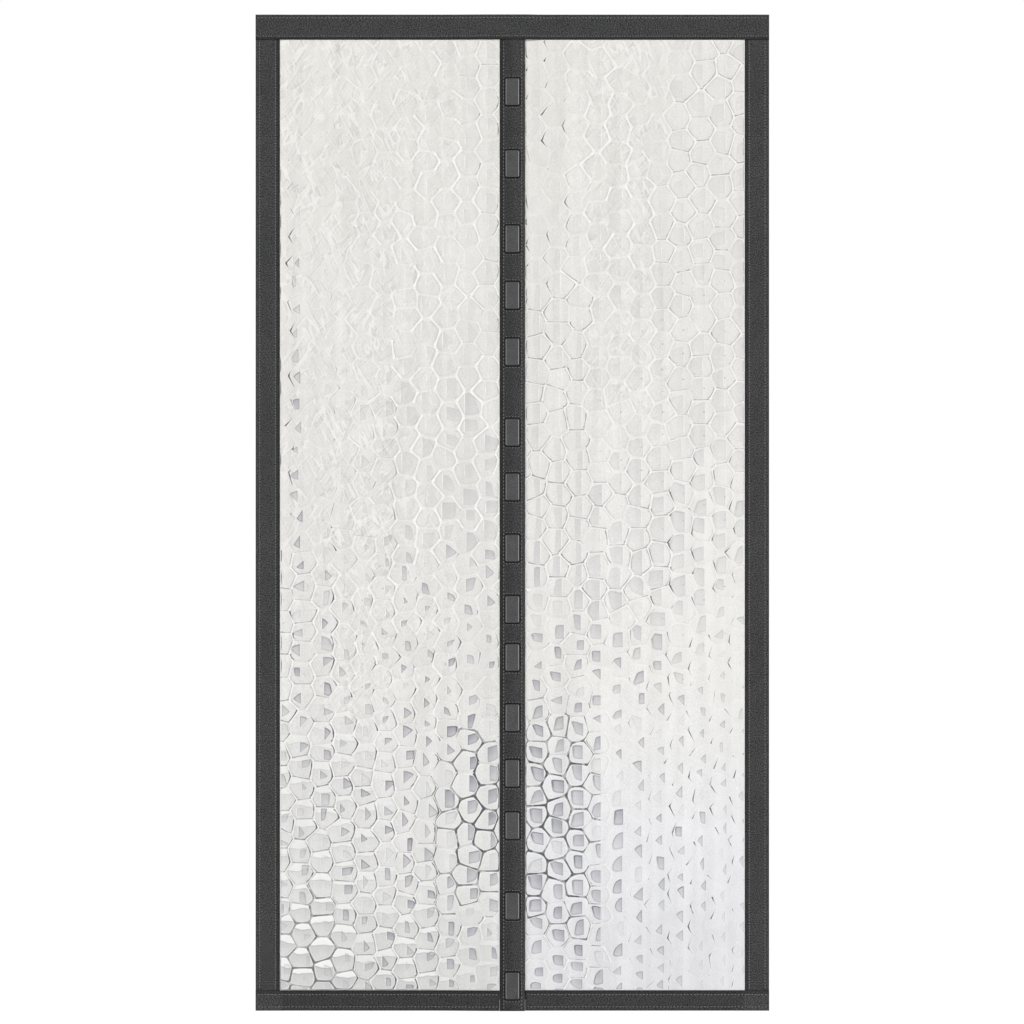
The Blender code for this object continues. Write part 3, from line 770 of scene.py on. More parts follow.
def filmMarksGroup():
    group, g, given, made = newGroup(
        "filmMarks",
        {"vector": ("Place", "Rim", "Spot"), "colour": ("Pane", "Cut", "Cap", "Tone"),
         "number": ("Edge", "Power", "RidgeHighlight", "Crumple")},
        {"colour": ("Colour",), "number": ("Roughness", "Height")},
    )
    spot = given["Spot"]
    placeX, placeZ, _ = g.parts(given["Place"])
    deep, line, _ = g.parts(given["Rim"])
    pane, _, _ = g.parts(given["Pane"])
    cap, capAt, dot = g.parts(given["Cap"])
    fill, paneRimReflection, paneHighlight = paneShape(g, given)

    # painted shade in the grooves, broken here and there, and wider where it is darker
    broken = g.step(g.noise(spot, 60.0, 2.0), 0.34, 0.52, 0.45, 1.0)
    inner = g.blend(line, 0.08, 0.04)
    outer = g.blend(line, 0.13, 0.12)
    dark = g.step(line, 0.0, 0.92)
    across, _, height = g.parts(spot)
    (left, right), (low, high) = bandEdges, bandHeights
    inBand = g.product(g.step(across, left - 0.001, left), g.fall(across, right, right + 0.001),
                       g.step(height, low, low + 0.08), g.fall(height, high - 0.08, high))
    marked = g.blend(inBand, -0.92, 1.0)
    back = g.step(given["RidgeHighlight"], 0.10, 0.50, 0.0, 0.14)
    beyond = g.minus(deep, back)
    groove = g.product(g.fall(beyond, inner, outer), g.step(beyond, -0.05, 0.0), dark, broken, marked)
    farther = g.minus(beyond, outer)
    glint = g.product(g.step(farther, 0.0, 0.05), g.fall(farther, 0.08, 0.20), dark, marked)
    # painted highlights on the ridges, and painted shade just inside them
    ridgeHighlight = g.product(g.fall(deep, 0.12, 0.24), given["RidgeHighlight"])
    ridgeShade = g.product(g.step(deep, 0.14, 0.26), g.fall(deep, 0.30, 0.70), given["RidgeHighlight"])

    # the cap's painted light: a painted highlight on the upper lip, painted shade in the crease under it and
    # on the face below
    wavy = g.blend(g.swing(spot, 36.0, 1.0), 0.28, capAt)
    overLip = g.minus(placeZ, wavy)
    lipHighlight = g.product(g.step(overLip, -0.005, 0.015), g.step(deep, 0.08, 0.20), cap)
    creaseShade = g.product(g.step(overLip, -0.05, -0.012), g.fall(overLip, -0.012, 0.004), cap)
    face = g.product(g.fall(overLip, -0.012, 0.0), g.step(overLip, -0.42, 0.0, 0.30, 1.0), cap)

    # a small dark dot, painted as the shade in a pit
    pit = g.add("ShaderNodeVectorMath", operation="DISTANCE")
    g.put(given["Place"], pit.inputs[0])
    pit.inputs[1].default_value = (0.43, 0.50, 0.0)
    pitShade = g.product(g.fall(pit.outputs["Value"], 0.018, 0.040), dot)

    # slow mottling, upright streaks of painted light and shade like those of the film's long upright waves,
    # and a fine grain
    waveLightAndShade = g.minus(stretchedNoise(g, spot, (0.024, 1.0, 0.60), 0.0, 2.0), 0.5)
    mottle = g.swing(spot, 24.0, 3.0, 0.6)
    grain = g.minus(g.step(g.noise(spot, 420.0, 2.0, 0.7), 0.34, 0.66), 0.5)
    level = g.blend(waveLightAndShade, 0.25, g.blend(mottle, 0.12, 0.965))
    level = g.blend(ridgeShade, -0.12, level)
    # painted fold highlights and painted shade beside them, where the film is slack
    slack = g.step(given["Crumple"], 0.25, 0.90)
    shown = g.product(slack, g.step(g.noise(spot, 34.0, 1.0), 0.40, 0.56))
    shownToo = g.product(slack, g.step(g.noise(spot, 27.0, 1.0), 0.60, 0.44))
    foldHighlight, shade, folds = foldMarks(g, spot, (0.0160, 1.0, 0.078), 0.62, shown)
    foldHighlightToo, shadeToo, foldsToo = foldMarks(g, spot, (0.0150, 1.0, 0.084), -0.42, shownToo)
    level = g.blend(g.math("ADD", shade, shadeToo), -0.09, level)
    body = g.scaled(given["Tone"], g.blend(grain, 0.13, level))
    shares = {
        "foldHighlight": g.product(g.most(foldHighlight, foldHighlightToo), 0.45),
        "face": g.product(face, 0.60),
        "lipHighlight": g.product(lipHighlight, 0.85),
        "creaseShade": g.product(creaseShade, 0.45),
        "ridgeHighlight": ridgeHighlight,
        "paneHighlight": g.product(paneHighlight, given["RidgeHighlight"], 0.9),
        "glint": g.product(glint, 0.50),
        "pane": g.product(fill, pane, marked),
        "paneRimReflection": g.product(paneRimReflection, g.math("POWER", pane, 0.7), given["Edge"], marked),
        "pit": g.product(pitShade, 0.7),
        "groove": groove,
    }
    for name, share in shares.items():
        body = g.mix(share, body, (*filmInks[name], 1.0))
    g.put(body, made["Colour"])
    g.put(g.blend(g.noise(spot, 40.0, 2.0), 0.16, 0.24), made["Roughness"])
    # the same folds stand out a little
    crumpled = g.product(g.math("ADD", folds, foldsToo), given["Crumple"])
    g.put(g.blend(g.noise(spot, 1100.0, 2.0), 0.02, crumpled), made["Height"])
    return group


def filmMaterial():
    material, t, shader = newMaterial("embossedFilm", Roughness=0.30, IOR=1.46,
                                      Coat_Weight=0.15, Coat_Roughness=0.20)
    given = {"Place": t.places("place"), "Rim": t.places("rim"), "Spot": t.places()}
    for name, fourth in (("Pane", "Edge"), ("Cut", "Power"), ("Cap", "RidgeHighlight"), ("Tone", "Crumple")):
        values = t.add("ShaderNodeAttribute", attribute_name=name.lower()).outputs
        given[name] = values["Color"]
        given[fourth] = values["Alpha"]
    done = useGroup(t, filmMarksGroup(), **given)
    joinSurface(t, shader, done, 0.0024)
    return material


film = filmMaterial()
for filmName, filmNode, filmSide, filmSeed in (
    ("leftFilm", "left_film", -1, 3),
    ("rightFilm", "right_film", 1, 11),
):
    sheet = filmPiece(filmName, filmNode, filmSide, filmSeed)
    dress(sheet, film, "film", filmNode)
print("film done")


# Border tape

tapeCloth = {
    "colour": (0.046, 0.046, 0.047),
    "pocketLitColour": (0.066, 0.066, 0.067),
    "thread": 0.0007,
    "foldRise": 0.0025,
    "foldSteps": 8,
    "furrow": 0.00018,
    "furrowReach": 0.0011,
    "unevenness": 0.00010,
    "alongStep": 0.006,
    "sideStep": 0.008,
    "centreStep": 0.014,
}
# what one unit of the marks and pocket maps stands for, in metres
markSpan = 0.1
pocketSpan = 0.02
magnetPockets = {
    "rise": 0.0012,
    "clearance": 0.0006,
    "corner": 0.0030,
    "wall": 0.0013,
    "groove": 0.00035,
    "grooveAt": 0.0024,
    "grooveReach": 0.0010,
}
magnetCount = sum(name.startswith("front_magnet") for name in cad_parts)
magnetBoxes = [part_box(f"front_magnet_{number:02d}") for number in range(1, magnetCount + 1)]
magnetHeights = [(low.z + high.z) / 2 for low, high in magnetBoxes]
magnetHalfWidth = (magnetBoxes[0][1].x - magnetBoxes[0][0].x) / 2
magnetHalfHeight = (magnetBoxes[0][1].z - magnetBoxes[0][0].z) / 2


def pocketDistance(x, z):
    # distance outside the rounded outline of the nearest magnet pocket, negative inside it
    corner = magnetPockets["corner"]
    z = np.asarray(z, float)
    nearest = np.min([np.abs(z - height) for height in magnetHeights], axis=0)
    overX = np.abs(x) - (magnetHalfWidth + magnetPockets["clearance"] - corner)
    overZ = nearest - (magnetHalfHeight + magnetPockets["clearance"] - corner)
    outside = np.hypot(np.maximum(overX, 0), np.maximum(overZ, 0))
    return outside + np.minimum(np.maximum(overX, overZ), 0) - corner


def pocketSide(x, z):
    # -1 along a pocket's left side, 1 along its right side, 0 above and below it
    nearest = np.min([np.abs(z - height) for height in magnetHeights], axis=0)
    overX = np.abs(x) - magnetHalfWidth
    overZ = nearest - magnetHalfHeight
    return np.sign(x) * np.clip((overX - overZ) / 0.004 + 0.5, 0.0, 1.0)


def pocketRise(distance):
    p = magnetPockets
    bulge = p["rise"] * (1 - ease(distance, 0.0, p["wall"]))
    return bulge - p["groove"] * bell(distance, p["grooveAt"], p["grooveReach"])


def crossPlaces(width, fine):
    # places across a folded tape: back ply to the fold, round it, and front ply out again, finer where asked
    rise = tapeCloth["foldRise"]
    plain = list(np.linspace(rise, width, 9))
    front = sorted(set(round(a, 6) for a in plain + list(fine) if rise <= a <= width))
    across = []
    for a in reversed(plain):
        across.append((a, 0.0))
    for k in range(1, tapeCloth["foldSteps"]):
        turn = math.pi * k / tapeCloth["foldSteps"]
        across.append((rise - rise * math.sin(turn), turn))
    for a in front:
        across.append((a, math.pi))
    return np.array(across)


def tapePoint(tape, a, turn, s):
    # the place on a folded tape's outer face: a in from the fold, turn round the fold, s along it
    back = tape["back"](s)
    front = tape["front"](s)
    depth = (back + front) / 2 - (front - back) / 2 * np.cos(turn)
    facing = -np.cos(turn)
    rise = tapeCloth["unevenness"] * ripple(s, 3.0 * a, tape["seed"])
    for row, _ in tape["rows"]:
        rise = rise - tapeCloth["furrow"] * bell(a, row, tapeCloth["furrowReach"])
    if "pocket" in tape:
        rise = rise + np.where(turn > 3, pocketRise(tape["pocket"](a, s)), 0.0)
    return tape["place"](a, depth + facing * rise, s)


def cornerMap(mesh, name, across, up):
    # a UV map from two values at each vertex
    loopVertex = np.zeros(len(mesh.loops), int)
    mesh.loops.foreach_get("vertex_index", loopVertex)
    layer = mesh.uv_layers.get(name) or mesh.uv_layers.new(name=name)
    places = np.stack([across, up], axis=1)[loopVertex]
    layer.data.foreach_set("uv", places.astype(np.float32).ravel())


def foldedTape(tape, node, along, fine):
    # a flat grid is wrapped into the folded tape, given its ply, and keeps its flat places as a UV map
    across = crossPlaces(tape["width"], fine)
    along = np.array(along)
    columns = len(across)
    rows = len(along)
    bpy.ops.mesh.primitive_grid_add(x_subdivisions=columns - 1, y_subdivisions=rows - 1, size=2.0)
    piece = bpy.context.active_object
    piece.name = tape["name"]
    mesh = piece.data
    mesh.name = tape["name"]
    flat = vertexPlaces(mesh)
    column = np.rint((flat[:, 0] + 1) / 2 * (columns - 1)).astype(int)
    row = np.rint((flat[:, 1] + 1) / 2 * (rows - 1)).astype(int)
    a = across[column, 0]
    turn = across[column, 1]
    s = along[row]
    mesh.vertices.foreach_set("co", np.stack(tapePoint(tape, a, turn, s), axis=1).ravel())

    steps = np.hypot(np.diff(across[:, 0]), plyThickness * np.diff(across[:, 1]))
    flatAcross = np.concatenate([[0.0], np.cumsum(steps)])
    mesh.uv_layers.active.name = "cloth"
    cornerMap(mesh, "cloth", flatAcross[column], s)
    # toneShift scales the cloth's colour: each tape sets darker or lighter bands, and the side tapes a slow
    # ripple
    toneShift = mesh.attributes.new("toneShift", "FLOAT", "POINT")
    toneShift.data.foreach_set("value", tape["toneShift"](a, s).astype(np.float32))
    cornerMap(mesh, "marks", a / markSpan, (tape["width"] - a) / markSpan)
    farthest = pocketSpan / 2
    pocket = tape["pocket"](a, s) if "pocket" in tape else np.full(len(a), farthest)
    pocket = np.where(turn > 3, np.clip(pocket, -farthest, farthest), farthest)
    cornerMap(mesh, "pocket", pocket / pocketSpan + 0.5, 0.5 + 0.5 * pocketSide(halfCentre - a, s))

    mesh.update()
    frontFace = max(mesh.polygons, key=lambda face: face.center.y * tape["facing"])
    if frontFace.normal.y * tape["facing"] < 0:
        mesh.flip_normals()
    mesh.shade_smooth()
    applied(piece, "SOLIDIFY", thickness=plyThickness, offset=-1.0)
    print(tape["name"], len(mesh.polygons), "faces")
    dress(piece, clothMaterial, "border_tape", node)


def borderMaterial():
    material, t, shader = newMaterial("borderTape", Roughness=0.86, Specular_IOR_Level=0.25)
    marks, g, given, made = newGroup(
        "tapeMarks",
        {"vector": ("Cloth", "Marks", "Pocket"), "number": ("Wear",)},
        {"colour": ("Colour",), "number": ("Roughness", "Height")},
    )
    fold, free, _ = g.parts(given["Marks"])
    pocket, side, _ = g.parts(given["Pocket"])
    weave = useGroup(g, plainWeave, Place=given["Cloth"], Thread=tapeCloth["thread"], Grain=1.80)
    # painted shade darkens the fold and the turned-in edge, on top of the real shading where the fold rounds
    edge = g.product(g.step(fold, 0.008, 0.022, 0.50, 1.0), g.step(free, 0.058, 0.085, 0.62, 1.0),
                     g.step(free, 0.006, 0.020, 0.60, 1.0))
    woven = g.scaled(tapeCloth["colour"], g.product(weave["Tone"], edge, given["Wear"]))
    # pocket: 0.5 is the pocket's outline, and 0.05 is 1 mm
    capFace = g.fall(pocket, 0.47, 0.51)
    outline = g.product(g.step(pocket, 0.48, 0.51), g.fall(pocket, 0.62, 0.69))
    bevelHighlight = g.product(g.step(pocket, 0.38, 0.42), g.fall(pocket, 0.47, 0.50))
    lit = g.most(g.step(side, 0.60, 0.95), g.step(side, 0.05, 0.40, 0.60, 0.0))
    capTone = g.blend(g.swing(given["Cloth"], 45.0, 2.0), 0.55, 1.0)
    capTone = g.blend(g.minus(weave["Tone"], 1.0), 0.4, capTone)
    # the pocket's smooth face is painted lighter, for the light that its bulge catches
    colour = g.mix(capFace, woven, g.scaled(tapeCloth["pocketLitColour"], capTone))
    # painted highlights on the pocket's left and right bevels, then painted shade in the groove round its
    # outline
    colour = g.mix(g.product(bevelHighlight, lit), colour, (0.26, 0.26, 0.262, 1.0))
    colour = g.mix(g.product(outline, 0.97), colour, (0.004, 0.004, 0.004, 1.0))
    g.put(colour, made["Colour"])
    g.put(g.blend(capFace, -0.30, 0.88), made["Roughness"])
    g.put(g.product(weave["Height"], g.blend(capFace, -0.8, 1.0)), made["Height"])
    done = useGroup(
        t, marks,
        Cloth=t.places("cloth"),
        Marks=t.places("marks"),
        Pocket=t.places("pocket"),
        Wear=t.add("ShaderNodeAttribute", attribute_name="toneShift").outputs["Fac"],
    )
    joinSurface(t, shader, done, 0.00018)
    return material


clothMaterial = borderMaterial()

overSide = tapeFront + wrapStep
overCentre = tapeFront + filmLift + wrapStep
# A tape's rows are its stitch rows: how far in from the fold, and the stitches' pitch.
headerTape = {
    "name": "headerTape", "width": curtainTop - headerFoot, "seed": 21, "facing": -1,
    "rows": ((0.0073, 0.0075), (0.0466, 0.0056)),
    "back": lambda s: np.full(np.shape(s), wrapBack),
    "front": lambda s: easedAlong(
        (-sideEdge + runs["lead"], -sideEdge + runs["side"],
         -halfCentre - runs["lift"], -halfCentre - runs["lead"],
         halfCentre + runs["lead"], halfCentre + runs["header"],
         sideEdge - runs["side"], sideEdge - runs["lead"]),
        (overSide, tapeFront, tapeFront, overCentre, overCentre, tapeFront, tapeFront, overSide), s),
    "place": lambda a, depth, s: (s, -depth, curtainTop - a),
    "toneShift": lambda a, s: 1.02 - 0.10 * ease(a, 0.012, 0.0),
    "on": ["header_loop_strip"],
}


def sideTape(name, side, seed):
    return {
        "name": name, "width": halfWidth - sideEdge, "seed": seed, "facing": -1,
        "rows": ((0.0088, 0.0064), (0.0425, 0.0060)),
        "back": lambda s: np.full(np.shape(s), tapeBack),
        "front": lambda s: np.full(np.shape(s), tapeFront),
        "place": lambda a, depth, s: (side * (halfWidth - a), -depth, s),
        "toneShift": lambda a, s: 1.04 + 0.06 * ripple(s, 0.8 * a, seed),
        "on": ["header_tape"],
    }


def hemTape(name, side, seed):
    plainWear = 0.80 if side < 0 else 0.90
    lift = filmLift if side < 0 else 0.0
    reach = (halfCentre + layerGap, halfCentre + runs["lift"])
    return {
        "name": name, "width": hemTop - curtainFoot, "seed": seed, "facing": -1,
        "rows": ((0.0086, 0.0072), (0.0348, 0.0072)),
        "back": lambda s: easedAlong(reach, (tapeBack + lift, wrapBack), np.abs(s)),
        "front": lambda s: easedAlong(
            (*reach, sideEdge - runs["side"], sideEdge - runs["lead"]),
            (tapeFront + lift, tapeFront, tapeFront, overSide), np.abs(s)),
        "place": lambda a, depth, s: (s, -depth, curtainFoot + a),
        "toneShift": lambda a, s: plainWear + 0.30 * ease(np.abs(s), sideEdge - 0.01, sideEdge),
        "on": ["left_film" if side < 0 else "right_film"],
    }


def centreTape(name, inFront, seed):
    lift = filmLift if inFront else 0.0
    back = tapeBack + lift
    front = tapeFront + lift
    if inFront:
        place = lambda a, depth, s: (halfCentre - a, -depth, s)
    else:
        place = lambda a, depth, s: (a - halfCentre, depth - back - front, s)
    return {
        "name": name, "width": 2 * halfCentre, "seed": seed, "facing": -1 if inFront else 1,
        "rows": ((0.0070, 0.0075), (0.0455, 0.0075)),
        "back": lambda s: np.full(np.shape(s), back),
        "front": lambda s: np.full(np.shape(s), front),
        "pocket": lambda a, s: pocketDistance(halfCentre - a, s),
        "place": place,
        "toneShift": lambda a, s: 1.02 - 0.24 * ease(a, 0.020, 0.032),
        "on": ["header_tape"],
    }


def evenPlaces(start, end, step):
    return np.linspace(start, end, max(2, round((end - start) / step) + 1))


def rowPlaces(tape):
    # a few places on each side of every stitch row
    return [row + shift * tapeCloth["furrowReach"] for row, _ in tape["rows"] for shift in (-2, -1, 0, 1, 2)]


def pocketPlaces(half):
    # places across one side of a pocket's edge, counted from its middle
    near = (-0.0032, -0.0022, -0.0014, -0.0007, 0.0, 0.0004, 0.0008, 0.0012, 0.0017, 0.0024, 0.0032)
    return [half + magnetPockets["clearance"] + shift for shift in near]


leftSide = sideTape("leftSideTape", -1, 31)
rightSide = sideTape("rightSideTape", 1, 32)
leftHemTape = hemTape("leftBottomHem", -1, 41)
rightHemTape = hemTape("rightBottomHem", 1, 42)
frontCentre = centreTape("frontCentreTape", True, 51)
rearCentre = centreTape("rearCentreTape", False, 52)

sideAlong = evenPlaces(leftTape[0].z, leftTape[1].z, tapeCloth["sideStep"])
hemAlong = evenPlaces(halfCentre + layerGap, halfWidth, tapeCloth["alongStep"])
for tape, tapeNode, along in (
    (headerTape, "header_tape", evenPlaces(-halfWidth, halfWidth, tapeCloth["alongStep"])),
    (leftSide, "left_side_tape", sideAlong),
    (rightSide, "right_side_tape", sideAlong),
    (leftHemTape, "left_bottom_hem", -hemAlong[::-1]),
    (rightHemTape, "right_bottom_hem", hemAlong),
):
    foldedTape(tape, tapeNode, along, rowPlaces(tape))

centreLow = frontTape[0].z
centreHigh = frontTape[1].z
centreAlong = set(np.round(evenPlaces(centreLow, centreHigh, tapeCloth["centreStep"]), 6))
for height in magnetHeights:
    for place in pocketPlaces(magnetHalfHeight):
        centreAlong.update(np.round((height - place, height + place), 6))
centreAlong = sorted(place for place in centreAlong if centreLow <= place <= centreHigh)
centreFine = rowPlaces(frontCentre)
for place in pocketPlaces(magnetHalfWidth):
    centreFine += [halfCentre - place, halfCentre + place]
foldedTape(frontCentre, "front_centre_tape", centreAlong, centreFine)
foldedTape(rearCentre, "rear_centre_tape", centreAlong, centreFine)
print("border tapes done")


# Stitching

stitchThread = {
    "radius": 0.00070,
    "fill": 0.70,
    "sunk": 0.00012,
    "crossPitch": 0.0060,
    "crossFill": 0.50,
    "crossOut": 0.0048,
    "room": 0.003,
    "colour": (0.200, 0.200, 0.202),
}


def oneStitch():
    # a stitch of unit length along X: a short thread, thinner where it dives into the cloth
    bpy.ops.mesh.primitive_cylinder_add(vertices=6, radius=1.0, depth=1.0, end_fill_type="NOTHING",
                                        rotation=(0, math.pi / 2, 0))
    piece = bpy.context.active_object
    bpy.ops.object.transform_apply(location=False, rotation=True, scale=False)
    mesh = piece.data
    bm = bmesh.new()
    bm.from_mesh(mesh)
    lengthwise = [edge for edge in bm.edges if abs(edge.verts[0].co.x - edge.verts[1].co.x) > 0.5]
    bmesh.ops.subdivide_edges(bm, edges=lengthwise, cuts=3, use_grid_fill=True)
    for end in (-0.5, 0.5):
        ring = [vert for vert in bm.verts if abs(vert.co.x - end) < 0.01]
        loop = sorted(ring, key=lambda vert: math.atan2(vert.co.z, vert.co.y))
        bm.faces.new(loop)
    for vert in bm.verts:
        share = min(1.0, max(0.0, (0.5 - abs(vert.co.x)) * 4))
        thick = 0.35 + 0.65 * math.sqrt(share)
        vert.co.y = vert.co.y * thick - 0.9 * (1 - share)
        vert.co.z *= thick
    bmesh.ops.recalc_face_normals(bm, faces=bm.faces)
    bm.to_mesh(mesh)
    bm.free()
    points = vertexPlaces(mesh)
    faces = [tuple(face.vertices) for face in mesh.polygons]
    bpy.data.objects.remove(piece)
    return points, faces


stitchPoints, stitchFaces = oneStitch()


def stitchesBetween(starts, ends, ups):
    # copies of the stitch laid from starts to ends, with their backs to ups
    size = len(stitchPoints)
    along = ends - starts
    side = np.cross(along, ups)
    side /= np.linalg.norm(side, axis=1)[:, None]
    middles = (starts + ends) / 2
    radius = stitchThread["radius"]
    points = (
        middles[:, None, :]
        + stitchPoints[None, :, 0, None] * along[:, None, :]
        + stitchPoints[None, :, 1, None] * radius * ups[:, None, :]
        + stitchPoints[None, :, 2, None] * radius * side[:, None, :]
    ).reshape(-1, 3)
    faces = [tuple(size * k + index for index in face) for k in range(len(starts)) for face in stitchFaces]
    return points, faces


def rowAlong(tape, a, turn, start, end, pitch, chance):
    # ends of the stitches of a row that runs along a tape, on its front (turn pi) or back ply (turn 0)
    count = int((end - start) / pitch)
    middles = start + (end - start) * (np.arange(count) + 0.5) / count
    middles = middles + np.array([chance.uniform(-0.06, 0.06) * pitch for _ in middles])
    half = pitch * stitchThread["fill"] / 2
    a = a + np.array([chance.uniform(-0.00012, 0.00012) for _ in middles])
    turns = np.full(count, turn)
    starts = np.stack(tapePoint(tape, a, turns, middles - half), axis=1)
    ends = np.stack(tapePoint(tape, a, turns, middles + half), axis=1)
    facing = tape["facing"] if turn > 1 else -tape["facing"]
    return starts, ends, np.tile([0.0, facing, 0.0], (count, 1))


def rowAcross(tape, s, start, end, pitch):
    # ends of the stitches of a row that crosses a tape
    count = max(1, round((end - start) / pitch))
    middles = start + (end - start) * (np.arange(count) + 0.5) / count
    half = pitch * stitchThread["crossFill"] / 2
    turns = np.full(count, math.pi)
    starts = np.stack(tapePoint(tape, middles - half, turns, np.full(count, s)), axis=1)
    ends = np.stack(tapePoint(tape, middles + half, turns, np.full(count, s)), axis=1)
    return starts, ends, np.tile([0.0, tape["facing"], 0.0], (count, 1))


def stitchPiece(name, rows):
    points = []
    faces = []
    for starts, ends, ups in rows:
        sunk = ups * stitchThread["sunk"]
        rowPoints, rowFaces = stitchesBetween(starts - sunk, ends - sunk, ups)
        base = sum(len(part) for part in points)
        faces += [tuple(base + index for index in face) for face in rowFaces]
        points.append(rowPoints)
    piece = meshObject(name, np.concatenate(points).tolist(), faces)
    bm = bmesh.new()
    bm.from_mesh(piece.data)
    bmesh.ops.recalc_face_normals(bm, faces=bm.faces)
    bm.to_mesh(piece.data)
    bm.free()
    piece.data.shade_smooth()
    dress(piece, threadMaterial, "border_tape")
    print(name, len(piece.data.polygons), "faces")


def sewingMaterial():
    material, t, shader = newMaterial("sewingThread", Roughness=0.62)
    spot = t.places()
    twist = t.add("ShaderNodeTexWave", wave_type="BANDS", bands_direction="DIAGONAL")
    t.put(spot, twist.inputs["Vector"])
    twist.inputs["Scale"].default_value = 900.0
    tone = t.blend(t.noise(spot, 210.0, 2.0), 0.7, 0.65)
    t.put(t.scaled(stitchThread["colour"], tone), shader["Base Color"])
    t.put(bumped(t, twist.outputs["Fac"], 0.00008), shader["Normal"])
    return material


threadMaterial = sewingMaterial()
stitchChance = random.Random(7)


def rowsAlong(tape, turns, start, end):
    room = stitchThread["room"]
    return [rowAlong(tape, a, turn, start + room, end - room, pitch, stitchChance)
            for a, pitch in tape["rows"] for turn in turns]


def rowsAcross(tape):
    # one row above and one below each magnet pocket
    crossAt = magnetHalfHeight + magnetPockets["clearance"] + stitchThread["crossOut"]
    start = tape["rows"][0][0] + stitchThread["room"]
    end = tape["rows"][1][0] - stitchThread["room"]
    return [rowAcross(tape, s, start, end, stitchThread["crossPitch"])
            for height in magnetHeights for s in (height - crossAt, height + crossAt)]


for stitchName, tape, start, end in (
    ("headerStitches", headerTape, -halfWidth, halfWidth),
    ("leftSideStitches", leftSide, hemTop, headerFoot),
    ("rightSideStitches", rightSide, hemTop, headerFoot),
    ("leftHemStitches", leftHemTape, -halfWidth, -halfCentre),
    ("rightHemStitches", rightHemTape, halfCentre, halfWidth),
):
    stitchPiece(stitchName, rowsAlong(tape, (0.0, math.pi), start, end))
for stitchName, tape in (("frontCentreStitches", frontCentre), ("rearCentreStitches", rearCentre)):
    stitchPiece(stitchName, rowsAlong(tape, (math.pi,), centreLow, headerFoot) + rowsAcross(tape))
print("stitching done")


# Loop strips on the back

loopStrips = {"edge": 0.0006, "step": 0.004, "nap": 0.00012, "colour": (0.030, 0.030, 0.031)}


def loopStrip(name, node):
    # a soft strip with rounded edges, uneven where its loops crowd
    low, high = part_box(node)
    middle = (low + high) / 2
    size = high - low
    bpy.ops.mesh.primitive_cube_add(size=1.0, location=middle)
    piece = bpy.context.active_object
    piece.name = name
    piece.data.name = name
    piece.scale = size
    bpy.ops.object.transform_apply(location=True, rotation=False, scale=True)
    mesh = piece.data
    bm = bmesh.new()
    bm.from_mesh(mesh)
    for axis in (0, 2):
        steps = max(1, round(size[axis] / loopStrips["step"]))
        spans = {edge: abs(edge.verts[0].co[axis] - edge.verts[1].co[axis]) for edge in bm.edges}
        across = [edge for edge, span in spans.items() if span > 0.9 * size[axis]]
        bmesh.ops.subdivide_edges(bm, edges=across, cuts=steps - 1, use_grid_fill=True)
    chance = random.Random(len(name))
    for vert in bm.verts:
        inX = min(vert.co.x - low.x, high.x - vert.co.x) > 0.001
        inZ = min(vert.co.z - low.z, high.z - vert.co.z) > 0.001
        if inX and inZ and vert.co.y > middle.y:
            vert.co.y -= loopStrips["nap"] * chance.random()
    bm.to_mesh(mesh)
    bm.free()
    applied(piece, "BEVEL", width=loopStrips["edge"], segments=2, limit_method="ANGLE")
    mesh.shade_smooth()
    dress(piece, loopMaterial, "loop_strip", node)
    print(name, len(mesh.polygons), "faces")


def napMaterial():
    material, t, shader = newMaterial("loopNap", Roughness=0.95, Sheen_Weight=0.3)
    spot = t.places()
    loops = t.add("ShaderNodeTexVoronoi", feature="F1")
    t.put(spot, loops.inputs["Vector"])
    loops.inputs["Scale"].default_value = 900.0
    tone = t.blend(loops.outputs["Distance"], 1.1, 0.55)
    t.put(t.scaled(loopStrips["colour"], tone), shader["Base Color"])
    t.put(bumped(t, loops.outputs["Distance"], 0.0004), shader["Normal"])
    return material


loopMaterial = napMaterial()
loopStrip("headerLoopStrip", "header_loop_strip")
loopStrip("leftLoopStrip", "left_loop_strip")
loopStrip("rightLoopStrip", "right_loop_strip")


# Magnets and hem weights keep their solids

def magnetMaterial():
    material, t, shader = newMaterial("bondedFerrite", Roughness=0.55)
    spot = t.places()
    tone = t.blend(t.noise(spot, 160.0, 4.0), 0.5, 0.75)
    t.put(t.scaled((0.060, 0.058, 0.056), tone), shader["Base Color"])
    t.put(bumped(t, t.noise(spot, 700.0, 3.0), 0.00006), shader["Normal"])
    return material


def weightMaterial():
    material, t, shader = newMaterial("rolledSteel", Metallic=1.0)
    spot = t.places()
    stretched = t.add("ShaderNodeMapping")
    t.put(spot, stretched.inputs["Vector"])
    stretched.inputs["Scale"].default_value = (1.0, 8.0, 60.0)
    grain = t.noise(stretched.outputs[0], 30.0, 3.0)
    t.put(t.scaled((0.46, 0.46, 0.47), t.blend(grain, 0.3, 0.85)), shader["Base Color"])
    t.put(t.blend(grain, 0.3, 0.28), shader["Roughness"])
    return material


def dressNodes(names, material):
    for name in names:
        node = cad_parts[name]
        node.data.materials.clear()
        node.data.materials.append(material)


dressNodes([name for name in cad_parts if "_magnet_" in name], magnetMaterial())
dressNodes(["left_hem_weight", "right_hem_weight"], weightMaterial())
print("magnets, weights and loop strips done")


# Camera, light and floor

view = {
    "lens": 85.0,
    "sensor": 36.0,
    "imageSize": 1024,
    "metresPerPixel": 1.1 / 513.6,
    "curtainAt": (512.36, 512.63),
    "floorDrop": 0.030,
    "floorSize": 40.0,
    "floorGlow": 1.06,
    "glowShare": 0.90,
    "worldLevel": 0.55,
    "sunReach": 3.0,
}
# each sun's strength, softness and direction
suns = {
    "keyLight": (1.17, 0.25, (0.75, -1.0, 0.95)),
    "fillLight": (0.79, 0.45, (-1.15, -1.0, 0.45)),
    "backLight": (0.90, 0.45, (-0.30, 1.0, 0.60)),
}


